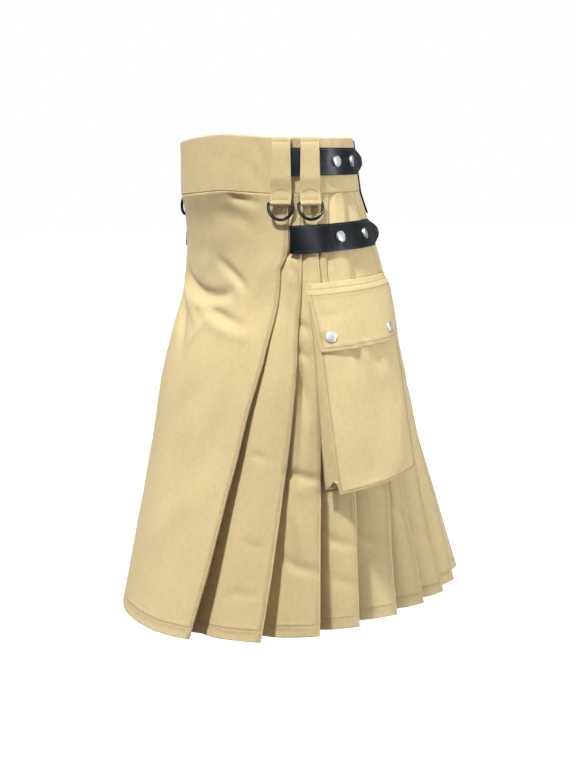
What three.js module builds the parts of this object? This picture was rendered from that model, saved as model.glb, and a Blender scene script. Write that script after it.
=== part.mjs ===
// Utility kilt: a wrap of heavy cotton with knife pleats, bellows pockets, leather straps and D-rings.
// Millimetres. +Z is up, the front faces -Y and +X is the wearer's left. The origin is the waist's centre.
// Angles are in degrees: 0 is the middle of the front, 90 the wearer's left side and 180 the back.
import * as THREE from "three";

// Driving dimensions
const LENGTH = 610;
const BAND = { depth: 68.2, wall: 3, shift: 3.6, start: -69, end: 429 };
const CLOTH = 1.2;
const CLOTH_DEPTH = 1;
const SEAM_GAP = 0.3;
const PLEATS = 18;
const FOLD = { top: 1.6, grow: 0.8, under: 16, underHem: 25, stand: 3.2, standHem: 28 };
const LOOP = { half: 12.5, wall: 2.4, roll: 3.3, bore: 1.85, bar: 79, reach: 49.6 };
const RING = { wire: 1.6, half: 14.9, side: 4, corner: 1.7 };
const STRAP = { wall: 2.5, lift: 0.3, upper: [12.5, 46.5], lower: [103.5, 137.5], sag: 2.8 };
const CAP = { radius: 7.5, height: 2.2 };
const BACK_LOOP = { centre: 151.5, half: 14, wall: 2, top: 3, bottom: 99 };
const FLAP = { top: 173.8, bottom: 256, wall: 1.8 };
const POCKET = { mouth: 186, bottom: 428.4, rise: 4.5, tilt: 2.6, wall: 1.2, backLift: 0.8, gusset: 1.1 };
// The waist's top edge is level, apart from a rise left of the front's middle and a dip right of it.
const RIM = { level: 36, rise: 4.5, riseAt: 25, riseWide: 22, dip: 4, dipAt: -35, dipWide: 25 };
const HEM = { side: -560, front: -581 };

// The envelope that the outermost cloth touches: half width, and reach to the front and to the back.
const ENVELOPE = [
  { drop: 0, side: 148, front: 105, back: 93 },
  { drop: 70, side: 152, front: 103, back: 105 },
  { drop: 100, side: 160, front: 94, back: 115 },
  { drop: 150, side: 173, front: 88, back: 132 },
  { drop: 200, side: 183, front: 92, back: 146 },
  { drop: 250, side: 190, front: 110, back: 160 },
  { drop: 300, side: 196, front: 125, back: 171 },
  { drop: 400, side: 203, front: 145, back: 197 },
  { drop: 500, side: 209, front: 168, back: 232 },
  { drop: 610, side: 216, front: 193, back: 270 },
];

// Where the fold edges lie on the wearer's left at each drop: the apron's, then those of pleats 1 to 7.
const EDGES = [
  { drop: 68.5, apron: 65.5, pleats: [72, 78, 92.5, 108.5, 122, 136, 149.5] },
  { drop: 100, apron: 61, pleats: [69.3, 78, 89.5, 105, 122.5, 137, 150] },
  { drop: 138, apron: 58, pleats: [66.5, 78, 85, 101.5, 126, 139.5, 151] },
  { drop: 160, apron: 51.5, pleats: [65.3, 78, 83.5, 101.5, 128, 141, 152] },
  { drop: 220, apron: 49, pleats: [63.5, 78, 85.5, 103, 126, 139, 150] },
  { drop: 275, apron: 46.5, pleats: [64.5, 78, 88, 104.5, 123.5, 136.5, 148.5] },
  { drop: 340, apron: 42, pleats: [63.5, 78, 90.5, 106.5, 121, 134, 146.5] },
  { drop: 435, apron: 37, pleats: [61, 78, 94, 109, 116.7, 130, 143] },
  { drop: 530, apron: 33.5, pleats: [59, 78.3, 93.5, 107, 117.3, 129.5, 142] },
  { drop: 610, apron: 29.5, pleats: [57, 78.5, 93.5, 106.5, 118, 129.5, 141.5] },
];
// The drop where the stitching that holds each fold down ends: the apron, pleat 1, and all the others.
const STITCHED = [205, 275, 215];

const MATERIALS = {
  cloth: { color: 0xd9c394, roughness: 0.9, metalness: 0 },
  leather: { color: 0x1c1d22, roughness: 0.45, metalness: 0 },
  steel: { color: 0xc9c9c6, roughness: 0.3, metalness: 1 },
  ring: { color: 0x26262a, roughness: 0.35, metalness: 0.8 },
};

const rad = THREE.MathUtils.degToRad;
const group = new THREE.Group();

function add(name, geometry, kind) {
  geometry.computeVertexNormals();
  const mesh = new THREE.Mesh(geometry, new THREE.MeshStandardMaterial(MATERIALS[kind]));
  mesh.name = name;
  group.add(mesh);
}

function mix(a, b, t) {
  return a + (b - a) * t;
}

function ease(t) {
  const s = Math.min(1, Math.max(0, t));
  return s * s * (3 - 2 * s);
}

// Linear reading of a table whose rows are [x, y].
function read(rows, x) {
  if (x <= rows[0][0]) return rows[0][1];
  const i = rows.findIndex((row) => row[0] >= x);
  if (i < 0) return rows.at(-1)[1];
  const [a, b] = [rows[i - 1], rows[i]];
  return mix(a[1], b[1], (x - a[0]) / (b[0] - a[0]));
}

// Smooth reading of one column of the envelope.
function envelope(key, drop) {
  const n = ENVELOPE.length;
  const slope = (i) => {
    const at = ENVELOPE[i];
    const before = ENVELOPE[Math.max(0, i - 1)];
    const after = ENVELOPE[Math.min(n - 1, i + 1)];
    if (at === before || at === after) return (after[key] - before[key]) / (after.drop - before.drop);
    const [p, q] = [at.drop - before.drop, after.drop - at.drop];
    return (p * p * after[key] + (q * q - p * p) * at[key] - q * q * before[key]) / (p * q * (p + q));
  };
  const d = Math.min(LENGTH, Math.max(0, drop));
  let i = 0;
  while (i < n - 2 && ENVELOPE[i + 1].drop < d) i++;
  const [a, b] = [ENVELOPE[i], ENVELOPE[i + 1]];
  const h = b.drop - a.drop;
  const t = (d - a.drop) / h;
  if (i === 0) return mix(a[key], b[key], t);
  const [t2, t3] = [t * t, t * t * t];
  return (2 * t3 - 3 * t2 + 1) * a[key] + (t3 - 2 * t2 + t) * h * slope(i)
    + (3 * t2 - 2 * t3) * b[key] + (t3 - t2) * h * slope(i + 1);
}

// Height of the top edge at an angle.
function rim(angle) {
  const a = ((((angle + 180) % 360) + 360) % 360) - 180;
  const hump = (at, wide) => Math.exp(-(((a - at) / wide) ** 2));
  return RIM.level + RIM.rise * hump(RIM.riseAt, RIM.riseWide) - RIM.dip * hump(RIM.dipAt, RIM.dipWide);
}

// A point at an angle and a drop below the top edge, moved out of the envelope by `out`.
function skin(angle, drop, out = 0) {
  const [s, c] = [Math.sin(rad(angle)), Math.cos(rad(angle))];
  const reach = c > 0 ? envelope("front", drop) : envelope("back", drop);
  const hem = HEM.side + (HEM.front - HEM.side) * c;
  return new THREE.Vector3(
    (envelope("side", drop) + out) * s,
    -(reach + out) * c,
    mix(rim(angle), hem, drop / LENGTH),
  );
}

// The over apron's free edge on the wearer's right, which hangs a little behind its mirrored left edge.
function freeEdge(drop) {
  if (drop <= BAND.depth) return BAND.start;
  const apron = read(EDGES.map((row) => [row.drop, row.apron]), drop);
  return -apron - 3.5 * (1 - ease((2 * drop) / LENGTH));
}

// How far the wrap has wound inwards at an angle, so that the right end of the apron lies over it.
function wound(angle, drop = 0) {
  const a = angle < freeEdge(drop) ? angle + 360 : angle;
  return a < 215 ? 0 : BAND.shift * ease((a - 215) / 70);
}

// The same for either side: side 1 is the wearer's left, side -1 mirrors it to the right.
function on(side, angle, drop, out) {
  return skin(side * angle, drop, out - wound(side * angle, drop));
}

// Arc length of one degree on the envelope.
function degree(angle, drop) {
  return skin(angle + 0.5, drop).setZ(0).distanceTo(skin(angle - 0.5, drop).setZ(0));
}

// A closed solid from triangles, turned so that its faces point outwards.
function solid(points, faces) {
  let volume = 0;
  for (const [a, b, c] of faces)
    volume += points[a].dot(new THREE.Vector3().crossVectors(points[b], points[c]));
  const geometry = new THREE.BufferGeometry();
  geometry.setAttribute("position", new THREE.Float32BufferAttribute(points.flatMap((p) => p.toArray()), 3));
  geometry.setIndex(faces.flatMap(([a, b, c]) => (volume < 0 ? [a, c, b] : [a, b, c])));
  return geometry;
}

// A wall between two grids of the same size, closed round its four edges.
function wall(outer, inner) {
  const [rows, cols] = [outer.length, outer[0].length];
  const points = [...outer.flat(), ...inner.flat()];
  const o = (r, c) => r * cols + c;
  const n = (r, c) => rows * cols + r * cols + c;
  const faces = [];
  const far = (a, b) => points[a].distanceToSquared(points[b]);
  const quad = (a, b, c, d) => {
    if (far(a, c) < far(b, d) + 1e-6) faces.push([a, b, c], [a, c, d]);
    else faces.push([a, b, d], [b, c, d]);
  };
  for (let r = 0; r < rows - 1; r++)
    for (let c = 0; c < cols - 1; c++) {
      quad(o(r, c), o(r + 1, c), o(r + 1, c + 1), o(r, c + 1));
      quad(n(r, c), n(r, c + 1), n(r + 1, c + 1), n(r + 1, c));
    }
  for (let c = 0; c < cols - 1; c++) {
    quad(o(0, c), o(0, c + 1), n(0, c + 1), n(0, c));
    quad(o(rows - 1, c + 1), o(rows - 1, c), n(rows - 1, c), n(rows - 1, c + 1));
  }
  for (let r = 0; r < rows - 1; r++) {
    quad(o(r + 1, 0), o(r, 0), n(r, 0), n(r + 1, 0));
    quad(o(r, cols - 1), o(r + 1, cols - 1), n(r + 1, cols - 1), n(r, cols - 1));
  }
  return solid(points, faces);
}

// A tube wall that follows a list of closed rings of points, open or closed on itself along the list.
function sweep(rings, joined) {
  const m = rings[0].length;
  const points = rings.flat();
  const faces = [];
  const last = joined ? rings.length : rings.length - 1;
  for (let k = 0; k < last; k++) {
    const next = (k + 1) % rings.length;
    for (let j = 0; j < m; j++) {
      const i = (j + 1) % m;
      faces.push([k * m + j, next * m + j, next * m + i], [k * m + j, next * m + i, k * m + i]);
    }
  }
  return { points, faces, m };
}

// Both faces of a strip of cloth from its middle line in plan, with mitred corners.
function thicken(line, half) {
  const unit = (a, b) => new THREE.Vector2(b.x - a.x, b.y - a.y).normalize();
  const faces = [[], []];
  line.forEach((p, i) => {
    const into = i > 0 ? unit(line[i - 1], p) : unit(p, line[i + 1]);
    const away = i < line.length - 1 ? unit(p, line[i + 1]) : into;
    const normal = new THREE.Vector2(into.y + away.y, -into.x - away.x);
    normal.multiplyScalar(half / (1 + into.dot(away)));
    faces[0].push(new THREE.Vector3(p.x + normal.x, p.y + normal.y, p.z));
    faces[1].push(new THREE.Vector3(p.x - normal.x, p.y - normal.y, p.z));
  });
  return faces;
}

// The wrap
// Each row of the table gives one section through the cloth, run from the apron's free right edge
// round the left side, the back and the right side to the end of the under apron.

// Fold edges at a drop: 0 is the apron's left edge, 1 to 18 the pleats'. The right side mirrors the left.
function edgesAt(row) {
  const left = row.pleats;
  const edges = [row.apron, ...left];
  for (let k = 1; k <= 4; k++) edges.push(mix(left[6], 360 - left[6], k / 5));
  for (let k = 6; k >= 0; k--) edges.push(360 - left[k]);
  return edges;
}

// How far fold edge i stands out over the cloth below it.
function standAt(i, drop) {
  const k = Math.min(i, PLEATS + 1 - i);
  const from = STITCHED[Math.min(2, Math.max(0, k))];
  const open = Math.max(0, (drop - from) / (LENGTH - from));
  return FOLD.stand + (FOLD.standHem - FOLD.stand) * Math.pow(open, 1.2);
}

// One section as a list of [angle, depth under the envelope], in named stretches.
function section(row) {
  const { drop } = row;
  const edges = edgesAt(row);
  const low = drop / LENGTH;
  const fold = FOLD.top + FOLD.grow * low;
  const under = (i) => {
    const gap = i === 0 ? 30 : edges[i] - edges[i - 1];
    return Math.min(mix(FOLD.under, FOLD.underHem, low) / degree(edges[i], drop), 0.6 * gap);
  };
  const at = (angle, depth) => [angle, depth + CLOTH_DEPTH + wound(angle)];
  const turn = (i) => {
    const stand = standAt(i, drop);
    return [at(edges[i], 0), at(edges[i], fold), at(edges[i] - under(i), stand - fold)];
  };
  const right = freeEdge(drop);
  const parts = { over_apron: [], pleats_left: [], pleats_back: [], pleats_right: [], under_apron: [] };

  const inner = edges[0] - under(0);
  for (let k = 0; k < 12; k++) parts.over_apron.push(at(mix(right, inner, k / 12), 0));
  parts.over_apron.push(at(mix(inner, edges[0], 0.3), 0), ...turn(0));

  const names = ["pleats_left", "pleats_back", "pleats_right"];
  for (let i = 1; i <= PLEATS; i++) {
    const part = parts[names[Math.floor((i - 1) / 6)]];
    const before = standAt(i - 1, drop);
    const stand = standAt(i, drop);
    const hidden = edges[i] - under(i);
    const clear = edges[i - 1] + 1.2 / degree(edges[i - 1], drop);
    part.push(at(edges[i - 1] - under(i - 1), before), at(clear, before));
    part.push(at(mix(clear, hidden, 0.4), before * 0.66));
    part.push(at(hidden, Math.max(0, Math.min(0.3 * stand, stand - 2 * fold - 0.1))), ...turn(i));
  }

  const last = standAt(PLEATS, drop);
  const behind = 3.2 + standAt(0, drop) + CLOTH_DEPTH - 1;
  const start = edges[PLEATS];
  const free = 360 + right;
  const mid = Math.max(behind * 0.6, 6.2);
  const inside = 360 + edges[0] - under(0) - 12;
  const layer = [
    [start - under(PLEATS), last + CLOTH_DEPTH + BAND.shift],
    [start, last + CLOTH_DEPTH + BAND.shift],
    [Math.max(free, start + 4), mid],
    [inside, behind + CLOTH_DEPTH + 2],
    [BAND.end, behind + CLOTH_DEPTH + 2],
  ];
  parts.under_apron.push(layer[0], layer[1]);
  const span = BAND.end - start;
  for (let k = 1; k <= 22; k++) {
    const angle = start + (span * k) / 22;
    parts.under_apron.push([angle, Math.max(6, low < 0.13 ? 6 : read(layer, angle))]);
  }
  return parts;
}

const sections = EDGES.map((row) => ({ drop: row.drop, parts: section(row) }));
for (const name of ["over_apron", "pleats_left", "pleats_back", "pleats_right", "under_apron"]) {
  const grids = sections.map(({ drop, parts }) =>
    thicken(parts[name].map(([angle, depth]) => skin(angle, drop, -depth)), CLOTH / 2));
  add(name, wall(grids.map((g) => g[0]), grids.map((g) => g[1])), "cloth");
}

// The waistband runs on from the over apron's free end to the under apron's end as one winding strip.
{
  const grid = [0, BAND.depth / 2, BAND.depth].map((drop) => {
    const line = [];
    for (let k = 0; k <= 83; k++) {
      const angle = mix(BAND.start, BAND.end, k / 83);
      line.push(skin(angle, drop, -BAND.wall / 2 - (angle < 180 ? 0 : wound(Math.min(angle, 290)))));
    }
    return thicken(line, BAND.wall / 2);
  });
  add("waistband", wall(grid.map((g) => g[0]), grid.map((g) => g[1])), "cloth");
}

// A strap or panel that lies on the surface. `edge(u)` gives its angle, top drop, bottom drop and lift.
function panel(side, cols, rows, thick, edge) {
  const outer = [];
  const inner = [];
  for (let r = 0; r <= rows; r++) {
    outer.push([]);
    inner.push([]);
    for (let c = 0; c <= cols; c++) {
      const { angle, top, bottom, lift } = edge(c / cols, r / rows);
      const drop = mix(top, bottom, r / rows);
      outer[r].push(on(side, angle, drop, lift + thick));
      inner[r].push(on(side, angle, drop, lift));
    }
  }
  return wall(outer, inner);
}

// Leather straps: the upper one lies on the band, the lower one on the pleats. Each ends in a point.
function strap(side, ends, sag, from, tip) {
  return panel(side, 18, 4, STRAP.wall, (u, w) => {
    const [top, bottom] = ends.map((drop) => drop + sag * (1 - u));
    const middle = (top + bottom) / 2;
    const point = tip - 14;
    const angle = mix(mix(from[0], from[1], w), tip, u);
    const narrow = Math.min(0.86, Math.max(0, (angle - point) / 14) * 0.86);
    const [high, low] = [mix(top, middle, narrow), mix(bottom, middle, narrow)];
    const step = overStep(side, angle, mix(high, low, w));
    return { angle, top: high, bottom: low, lift: STRAP.lift + 5 * ease((angle - tip + 14) / 14) + step };
  });
}

// On the right a strap leaves the over apron's band for the layer below it, so it comes down in a slope.
function overStep(side, angle, drop) {
  if (side > 0) return 0;
  return wound(-angle, drop) * (1 - ease((angle + freeEdge(drop) - 2) / 16));
}

// Domed snap cap on the surface at a given lift.
function snap(side, angle, drop, lift) {
  const { radius, height } = CAP;
  const profile = [[0, 0], [radius, 0], [radius, 0.7], [radius * 0.8, 1.7], [radius * 0.45, 2.1], [0, height]];
  const geometry = new THREE.LatheGeometry(profile.map(([x, y]) => new THREE.Vector2(x, y)), 14);
  const across = on(side, angle + 1, drop, lift).sub(on(side, angle - 1, drop, lift)).normalize();
  const down = on(side, angle, drop + 3, lift).sub(on(side, angle, drop - 3, lift)).normalize();
  const up = new THREE.Vector3().crossVectors(down, across).normalize();
  if (up.dot(skin(side * angle, drop).setZ(0)) < 0) up.negate();
  const turn = new THREE.Quaternion().setFromUnitVectors(new THREE.Vector3(0, 1, 0), up);
  const place = on(side, angle, drop, lift).addScaledVector(up, SEAM_GAP);
  return geometry.applyMatrix4(new THREE.Matrix4().compose(place, turn, new THREE.Vector3(1, 1, 1)));
}

// A plane frame on the surface: origin on the envelope, `along` level, `away` level and outwards.
function frameAt(side, angle, drop) {
  const origin = on(side, angle, drop, 0);
  const along = on(side, angle + 0.5, drop, 0).sub(on(side, angle - 0.5, drop, 0)).setZ(0).normalize();
  const away = new THREE.Vector3(along.y, -along.x, 0);
  if (away.dot(origin) < 0) away.negate();
  const point = (s, n, z) => origin.clone().setZ(z).addScaledVector(along, s).addScaledVector(away, n);
  // How far the surface stands out at a level, at its highest across the loop's width.
  const surface = (z) => {
    let most = -Infinity;
    for (const s of [-LOOP.half, 0, LOOP.half]) {
      let [a, d] = [angle, 33 - z];
      for (let k = 0; k < 8; k++) {
        const p = on(side, a, d, 0);
        a += (s - p.clone().sub(origin).dot(along)) / degree(side * a, d);
        d += (p.z - z) * LENGTH / 598;
      }
      most = Math.max(most, on(side, a, d, 0).sub(origin).dot(away));
    }
    return most;
  };
  return { origin, along, away, point, surface };
}

// Cloth belt loop: down over the upper strap, stitched to the band, and rolled round a D-ring's bar.
function loopParts(side, angle) {
  const frame = frameAt(side, angle, 35);
  const level = (drop) => frame.origin.z + 35 - drop;
  const raised = STRAP.lift + STRAP.wall + SEAM_GAP + overStep(side, angle - 7, 28);
  const bar = { z: level(LOOP.bar), n: 0 };
  bar.n = frame.surface(bar.z) + SEAM_GAP + LOOP.roll;
  const path = [[0.6, 0], [5, 0], [7.2, 1], [LOOP.reach, 1], [LOOP.reach + 3.4, 0], [69, 0]];
  const back = path.map(([drop, high]) => [frame.surface(level(drop)) + SEAM_GAP + high * raised, level(drop)]);
  const face = back.map(([n, z]) => [n + LOOP.wall, z]).reverse();
  const roll = [];
  for (let k = 0; k <= 12; k++) {
    const a = rad(mix(150, 372, k / 12));
    roll.push([bar.n + LOOP.roll * Math.cos(a), bar.z + LOOP.roll * Math.sin(a)]);
  }
  const outline = [...back, ...roll, ...face].map(([n, z]) => new THREE.Vector2(n, z));
  const bore = [];
  for (let k = 0; k < 12; k++) {
    const a = rad(k * 30);
    bore.push(new THREE.Vector2(bar.n + LOOP.bore * Math.cos(a), bar.z + LOOP.bore * Math.sin(a)));
  }
  if (THREE.ShapeUtils.isClockWise(outline)) outline.reverse();
  if (!THREE.ShapeUtils.isClockWise(bore)) bore.reverse();
  const caps = THREE.ShapeUtils.triangulateShape(outline, [bore]);
  const flat = [...outline, ...bore];
  const m = flat.length;
  const points = [-1, 1].flatMap((s) => flat.map((p) => frame.point(s * LOOP.half, p.x, p.y)));
  const faces = caps.flatMap(([a, b, c]) => [[a, c, b], [m + a, m + b, m + c]]);
  for (const [from, count] of [[0, outline.length], [outline.length, bore.length]])
    for (let j = 0; j < count; j++) {
      const [a, b] = [from + j, from + ((j + 1) % count)];
      faces.push([a, b, m + b], [a, m + b, m + a]);
    }
  return { frame, bar, geometry: solid(points, faces) };
}

// D-ring: a wire bent to a D, hung from the loop's roll and lying along the slope of the cloth.
function ring(frame, bar) {
  const drop = RING.side + RING.half;
  const slope = Math.max(0, (frame.surface(bar.z - drop) - frame.surface(bar.z)) / drop);
  const lean = Math.atan(slope);
  const spot = (s, down) => frame.point(s, bar.n + down * Math.sin(lean), bar.z - down * Math.cos(lean));
  const path = [];
  const [h, c] = [RING.half, RING.corner];
  for (let k = 0; k < 3; k++) {
    const a = rad(90 - 45 * k);
    path.push([h - c + c * Math.cos(a), c - c * Math.sin(a)]);
  }
  for (let k = 0; k <= 12; k++) {
    const a = rad(15 * k);
    path.push([h * Math.cos(a), RING.side + h * Math.sin(a)]);
  }
  for (let k = 0; k < 3; k++) {
    const a = rad(180 - 45 * k);
    path.push([c - h + c * Math.cos(a), c - c * Math.sin(a)]);
  }
  path.push([0, 0]);
  const line = path.map(([s, down]) => spot(s, down));
  const normal = new THREE.Vector3()
    .crossVectors(frame.along, spot(0, 1).sub(spot(0, 0)))
    .normalize();
  const rings = line.map((p, i) => {
    const before = line[(i + line.length - 1) % line.length];
    const after = line[(i + 1) % line.length];
    const tangent = p.clone().sub(before).normalize().add(after.clone().sub(p).normalize()).normalize();
    const side = new THREE.Vector3().crossVectors(tangent, normal).normalize();
    const circle = [];
    for (let j = 0; j < 8; j++) {
      const a = rad(45 * j + 22.5);
      circle.push(p.clone()
        .addScaledVector(side, RING.wire * Math.cos(a))
        .addScaledVector(normal, RING.wire * Math.sin(a)));
    }
    return circle;
  });
  const { points, faces } = sweep(rings, true);
  return solid(points, faces);
}

// Bellows pocket: `across` runs 0 to 1 from its front edge to its rear edge, `drop` from top to bottom.
const POCKET_FRONT = [[FLAP.top, 66.5], [FLAP.bottom, 76], [POCKET.bottom, 83]];
const POCKET_REAR = [[FLAP.top, 132], [FLAP.bottom, 124], [POCKET.bottom, 119.8]];
function pocketAngle(across, drop) {
  return mix(read(POCKET_FRONT, drop), read(POCKET_REAR, drop), across);
}

// A point of the pocket, which hangs a little lower in front.
function pocketPoint(side, across, drop, lift) {
  return on(side, pocketAngle(across, drop), drop + POCKET.tilt * (1 - across), lift);
}

// How far the pocket's face stands off the pleats.
function pocketLift(across, drop) {
  const down = Math.max(0, (drop - POCKET.mouth) / (POCKET.bottom - POCKET.mouth));
  const swell = 3.5 * Math.sin(Math.PI * across) * Math.sin(Math.PI * Math.min(1, down) * 0.8);
  return 6.6 + (mix(24, 14, across) - 6.6) * Math.pow(down, 1.3) + swell;
}

// The lower edge rises a little towards the rear.
function pocketBottom(across) {
  return POCKET.bottom - POCKET.rise * across * across;
}

const POCKET_ROWS = [POCKET.mouth, 220, 256, 300, 340, 385, POCKET.bottom];

function pocketSheet(side, lift, thick, inset) {
  const cols = 7;
  const outer = [];
  const inner = [];
  for (const row of POCKET_ROWS) {
    outer.push([]);
    inner.push([]);
    for (let c = 0; c <= cols; c++) {
      const across = mix(inset, 1 - inset, c / cols);
      const drop = mix(POCKET.mouth, pocketBottom(across), (row - POCKET.mouth) / (POCKET.bottom - POCKET.mouth));
      outer.at(-1).push(pocketPoint(side, across, drop, lift(across, drop) + thick));
      inner.at(-1).push(pocketPoint(side, across, drop, lift(across, drop)));
    }
  }
  return wall(outer, inner);
}

// The gusset joins the back to the face round both sides and the bottom, with one fold pushed inwards.
function gusset(side) {
  const wide = 140;
  const stations = [];
  for (const drop of [192, 220, 256, 300, 340, 385, 420])
    stations.push({ across: 0, drop, in: [1, 0] });
  stations.push({ across: 0, drop: pocketBottom(0), in: [1, -1] });
  for (const across of [1 / 7, 2 / 7, 3 / 7, 4 / 7, 5 / 7, 6 / 7])
    stations.push({ across, drop: pocketBottom(across), in: [0, -1] });
  stations.push({ across: 1, drop: pocketBottom(1), in: [-1, -1] });
  for (const drop of [415, 385, 340, 300, 256, 220, 192])
    stations.push({ across: 1, drop, in: [-1, 0] });
  const rings = stations.map((station) => {
    const top = pocketLift(station.across, station.drop) - SEAM_GAP;
    const base = POCKET.backLift + POCKET.wall + SEAM_GAP;
    const pinch = 0.28 * (top - base);
    const spot = (inset, lift) => {
      const across = station.across + (station.in[0] * inset) / wide;
      const drop = station.drop + station.in[1] * inset;
      return pocketPoint(side, across, drop, lift);
    };
    const t = POCKET.gusset;
    const middle = (base + top) / 2;
    return [spot(0, base), spot(pinch, middle), spot(0, top), spot(t, top), spot(pinch + t, middle), spot(t, base)];
  });
  const { points, faces, m } = sweep(rings, false);
  const end = points.length - m;
  for (const [a, b, c] of [[0, 1, 4], [0, 4, 5], [1, 2, 3], [1, 3, 4]])
    faces.push([a, b, c], [end + a, end + c, end + b]);
  return solid(points, faces);
}

// The flap's lower edge stands off the face a little more between the snaps than at them.
function flapWave(across, drop) {
  return 0.9 * (1 - Math.cos(across * 4 * Math.PI)) * Math.max(0, (drop - 200) / 56);
}

// The flap is stitched to the pleats along its top, steps over the pocket's mouth and hangs down its face.
function flap(side) {
  const rows = [FLAP.top, 179, 185, 220, FLAP.bottom];
  const outer = [];
  const inner = [];
  for (const row of rows) {
    outer.push([]);
    inner.push([]);
    for (let c = 0; c <= 7; c++) {
      const across = mix(-0.006, 1.006, c / 7);
      const drop = row;
      const over = pocketLift(Math.min(1, Math.max(0, across)), drop) + POCKET.wall + 0.6;
      const lift = mix(0.8, over + flapWave(across, drop), ease((drop - 177) / 8));
      outer.at(-1).push(pocketPoint(side, across, drop, lift + FLAP.wall));
      inner.at(-1).push(pocketPoint(side, across, drop, lift));
    }
  }
  return wall(outer, inner);
}

for (const [side, name] of [[1, "left"], [-1, "right"]]) {
  add("strap_upper_" + name, strap(side, STRAP.upper, 0, [60.5, 60.5], 141), "leather");
  const front = side > 0 ? [61.6, 58.8] : [55, 53];
  add("strap_lower_" + name, strap(side, STRAP.lower, STRAP.sag, front, 142), "leather");
  for (const [where, angle] of [["front", 61.5], ["rear", 79]]) {
    const { frame, bar, geometry } = loopParts(side, angle);
    add("loop_" + where + "_" + name, geometry, "cloth");
    add("ring_" + where + "_" + name, ring(frame, bar), "ring");
  }
  const worn = STRAP.lift + STRAP.wall;
  const places = [["upper_front", 99, 29.5], ["upper_rear", 116.5, 29.5]];
  places.push(["lower_front", 95.5, 122.1], ["lower_rear", 116.8, 121.3]);
  for (const [where, angle, drop] of places) {
    const tip = drop < 100 ? 141 : 142;
    const lift = worn + 5 * ease((angle - tip + 14) / 14) + overStep(side, angle, drop);
    add("snap_" + where + "_" + name, snap(side, angle, drop, lift), "steel");
  }
  add("back_loop_" + name, panel(side, 4, 6, BACK_LOOP.wall, (u) => {
    const angle = BACK_LOOP.centre + ((u - 0.5) * 2 * BACK_LOOP.half) / degree(BACK_LOOP.centre, 50);
    return { angle, top: BACK_LOOP.top, bottom: BACK_LOOP.bottom, lift: 0.6 };
  }), "leather");
  add("pocket_back_" + name, pocketSheet(side, () => POCKET.backLift, POCKET.wall, 0.004), "cloth");
  add("pocket_face_" + name, pocketSheet(side, pocketLift, POCKET.wall, 0), "cloth");
  add("pocket_gusset_" + name, gusset(side), "cloth");
  add("pocket_flap_" + name, flap(side), "cloth");
  for (const [where, angle, drop] of [["front", 81, 237.6], ["rear", 116.5, 239.7]]) {
    const front = read(POCKET_FRONT, drop);
    const across = (angle - front) / (read(POCKET_REAR, drop) - front);
    const lift = pocketLift(across, drop) + POCKET.wall + 1 + flapWave(across, drop) + FLAP.wall;
    const low = drop + POCKET.tilt * (1 - across);
    add("snap_flap_" + where + "_" + name, snap(side, angle, low, lift), "steel");
  }
}

export default group;
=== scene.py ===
"""Looks of the utility kilt: twill, leather, snaps and D-rings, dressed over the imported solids."""

import math

import bpy
import numpy as np
from mathutils import Matrix, Vector


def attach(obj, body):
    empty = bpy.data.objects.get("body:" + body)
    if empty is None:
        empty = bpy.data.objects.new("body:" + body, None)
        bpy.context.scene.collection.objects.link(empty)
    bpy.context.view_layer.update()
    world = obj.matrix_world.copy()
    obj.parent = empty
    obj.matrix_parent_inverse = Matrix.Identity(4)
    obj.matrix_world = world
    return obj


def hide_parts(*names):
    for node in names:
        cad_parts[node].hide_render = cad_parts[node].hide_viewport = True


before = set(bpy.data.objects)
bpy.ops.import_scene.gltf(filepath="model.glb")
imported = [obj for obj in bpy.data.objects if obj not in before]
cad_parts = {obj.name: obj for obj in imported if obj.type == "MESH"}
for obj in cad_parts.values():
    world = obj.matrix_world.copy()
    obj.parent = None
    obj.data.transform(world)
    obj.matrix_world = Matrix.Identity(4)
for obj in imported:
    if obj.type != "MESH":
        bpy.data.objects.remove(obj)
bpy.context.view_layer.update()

MM = 0.001
LENGTH = 610.0
BAND_DEPTH = 68.2
BAND_START = -69.0
BAND_END = 429.0
BAND_WALL = 3.0
CLOTH = 1.2
CLOTH_DEPTH = 1.0
PLEATS = 18
HEM_STITCH = 596.0
HEM_ROW = 596.2
PANEL_TOP = 68.5
SEAM_GAP = 0.3
EDGE_STITCH = 3.0
# The wrap winds inwards by BAND_SHIFT over WIND_SPAN degrees, from WIND_FROM on.
BAND_SHIFT, WIND_FROM, WIND_SPAN = 3.6, 215.0, 70.0
# The distance from a fold edge that marks hidden cloth, and how far from it a face's hem is sewn.
HIDDEN, FACE_SEWN = 20.0, 95.0
# The top edge's height: level, with a rise left of the front's middle and a dip right of it.
RIM = {"level": 36.0, "rise": 4.5, "rise_at": 25.0, "rise_wide": 22.0,
       "dip": 4.0, "dip_at": -35.0, "dip_wide": 25.0}
HEM_SIDE, HEM_FRONT = -560.0, -581.0

# The envelope of the outermost cloth: drop, half width, reach to the front, reach to the back.
ENVELOPE = np.array([
    (0, 148, 105, 93), (70, 152, 103, 105), (100, 160, 94, 115), (150, 173, 88, 132),
    (200, 183, 92, 146), (250, 190, 110, 160), (300, 196, 125, 171), (400, 203, 145, 197),
    (500, 209, 168, 232), (610, 216, 193, 270),
], float)

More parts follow.
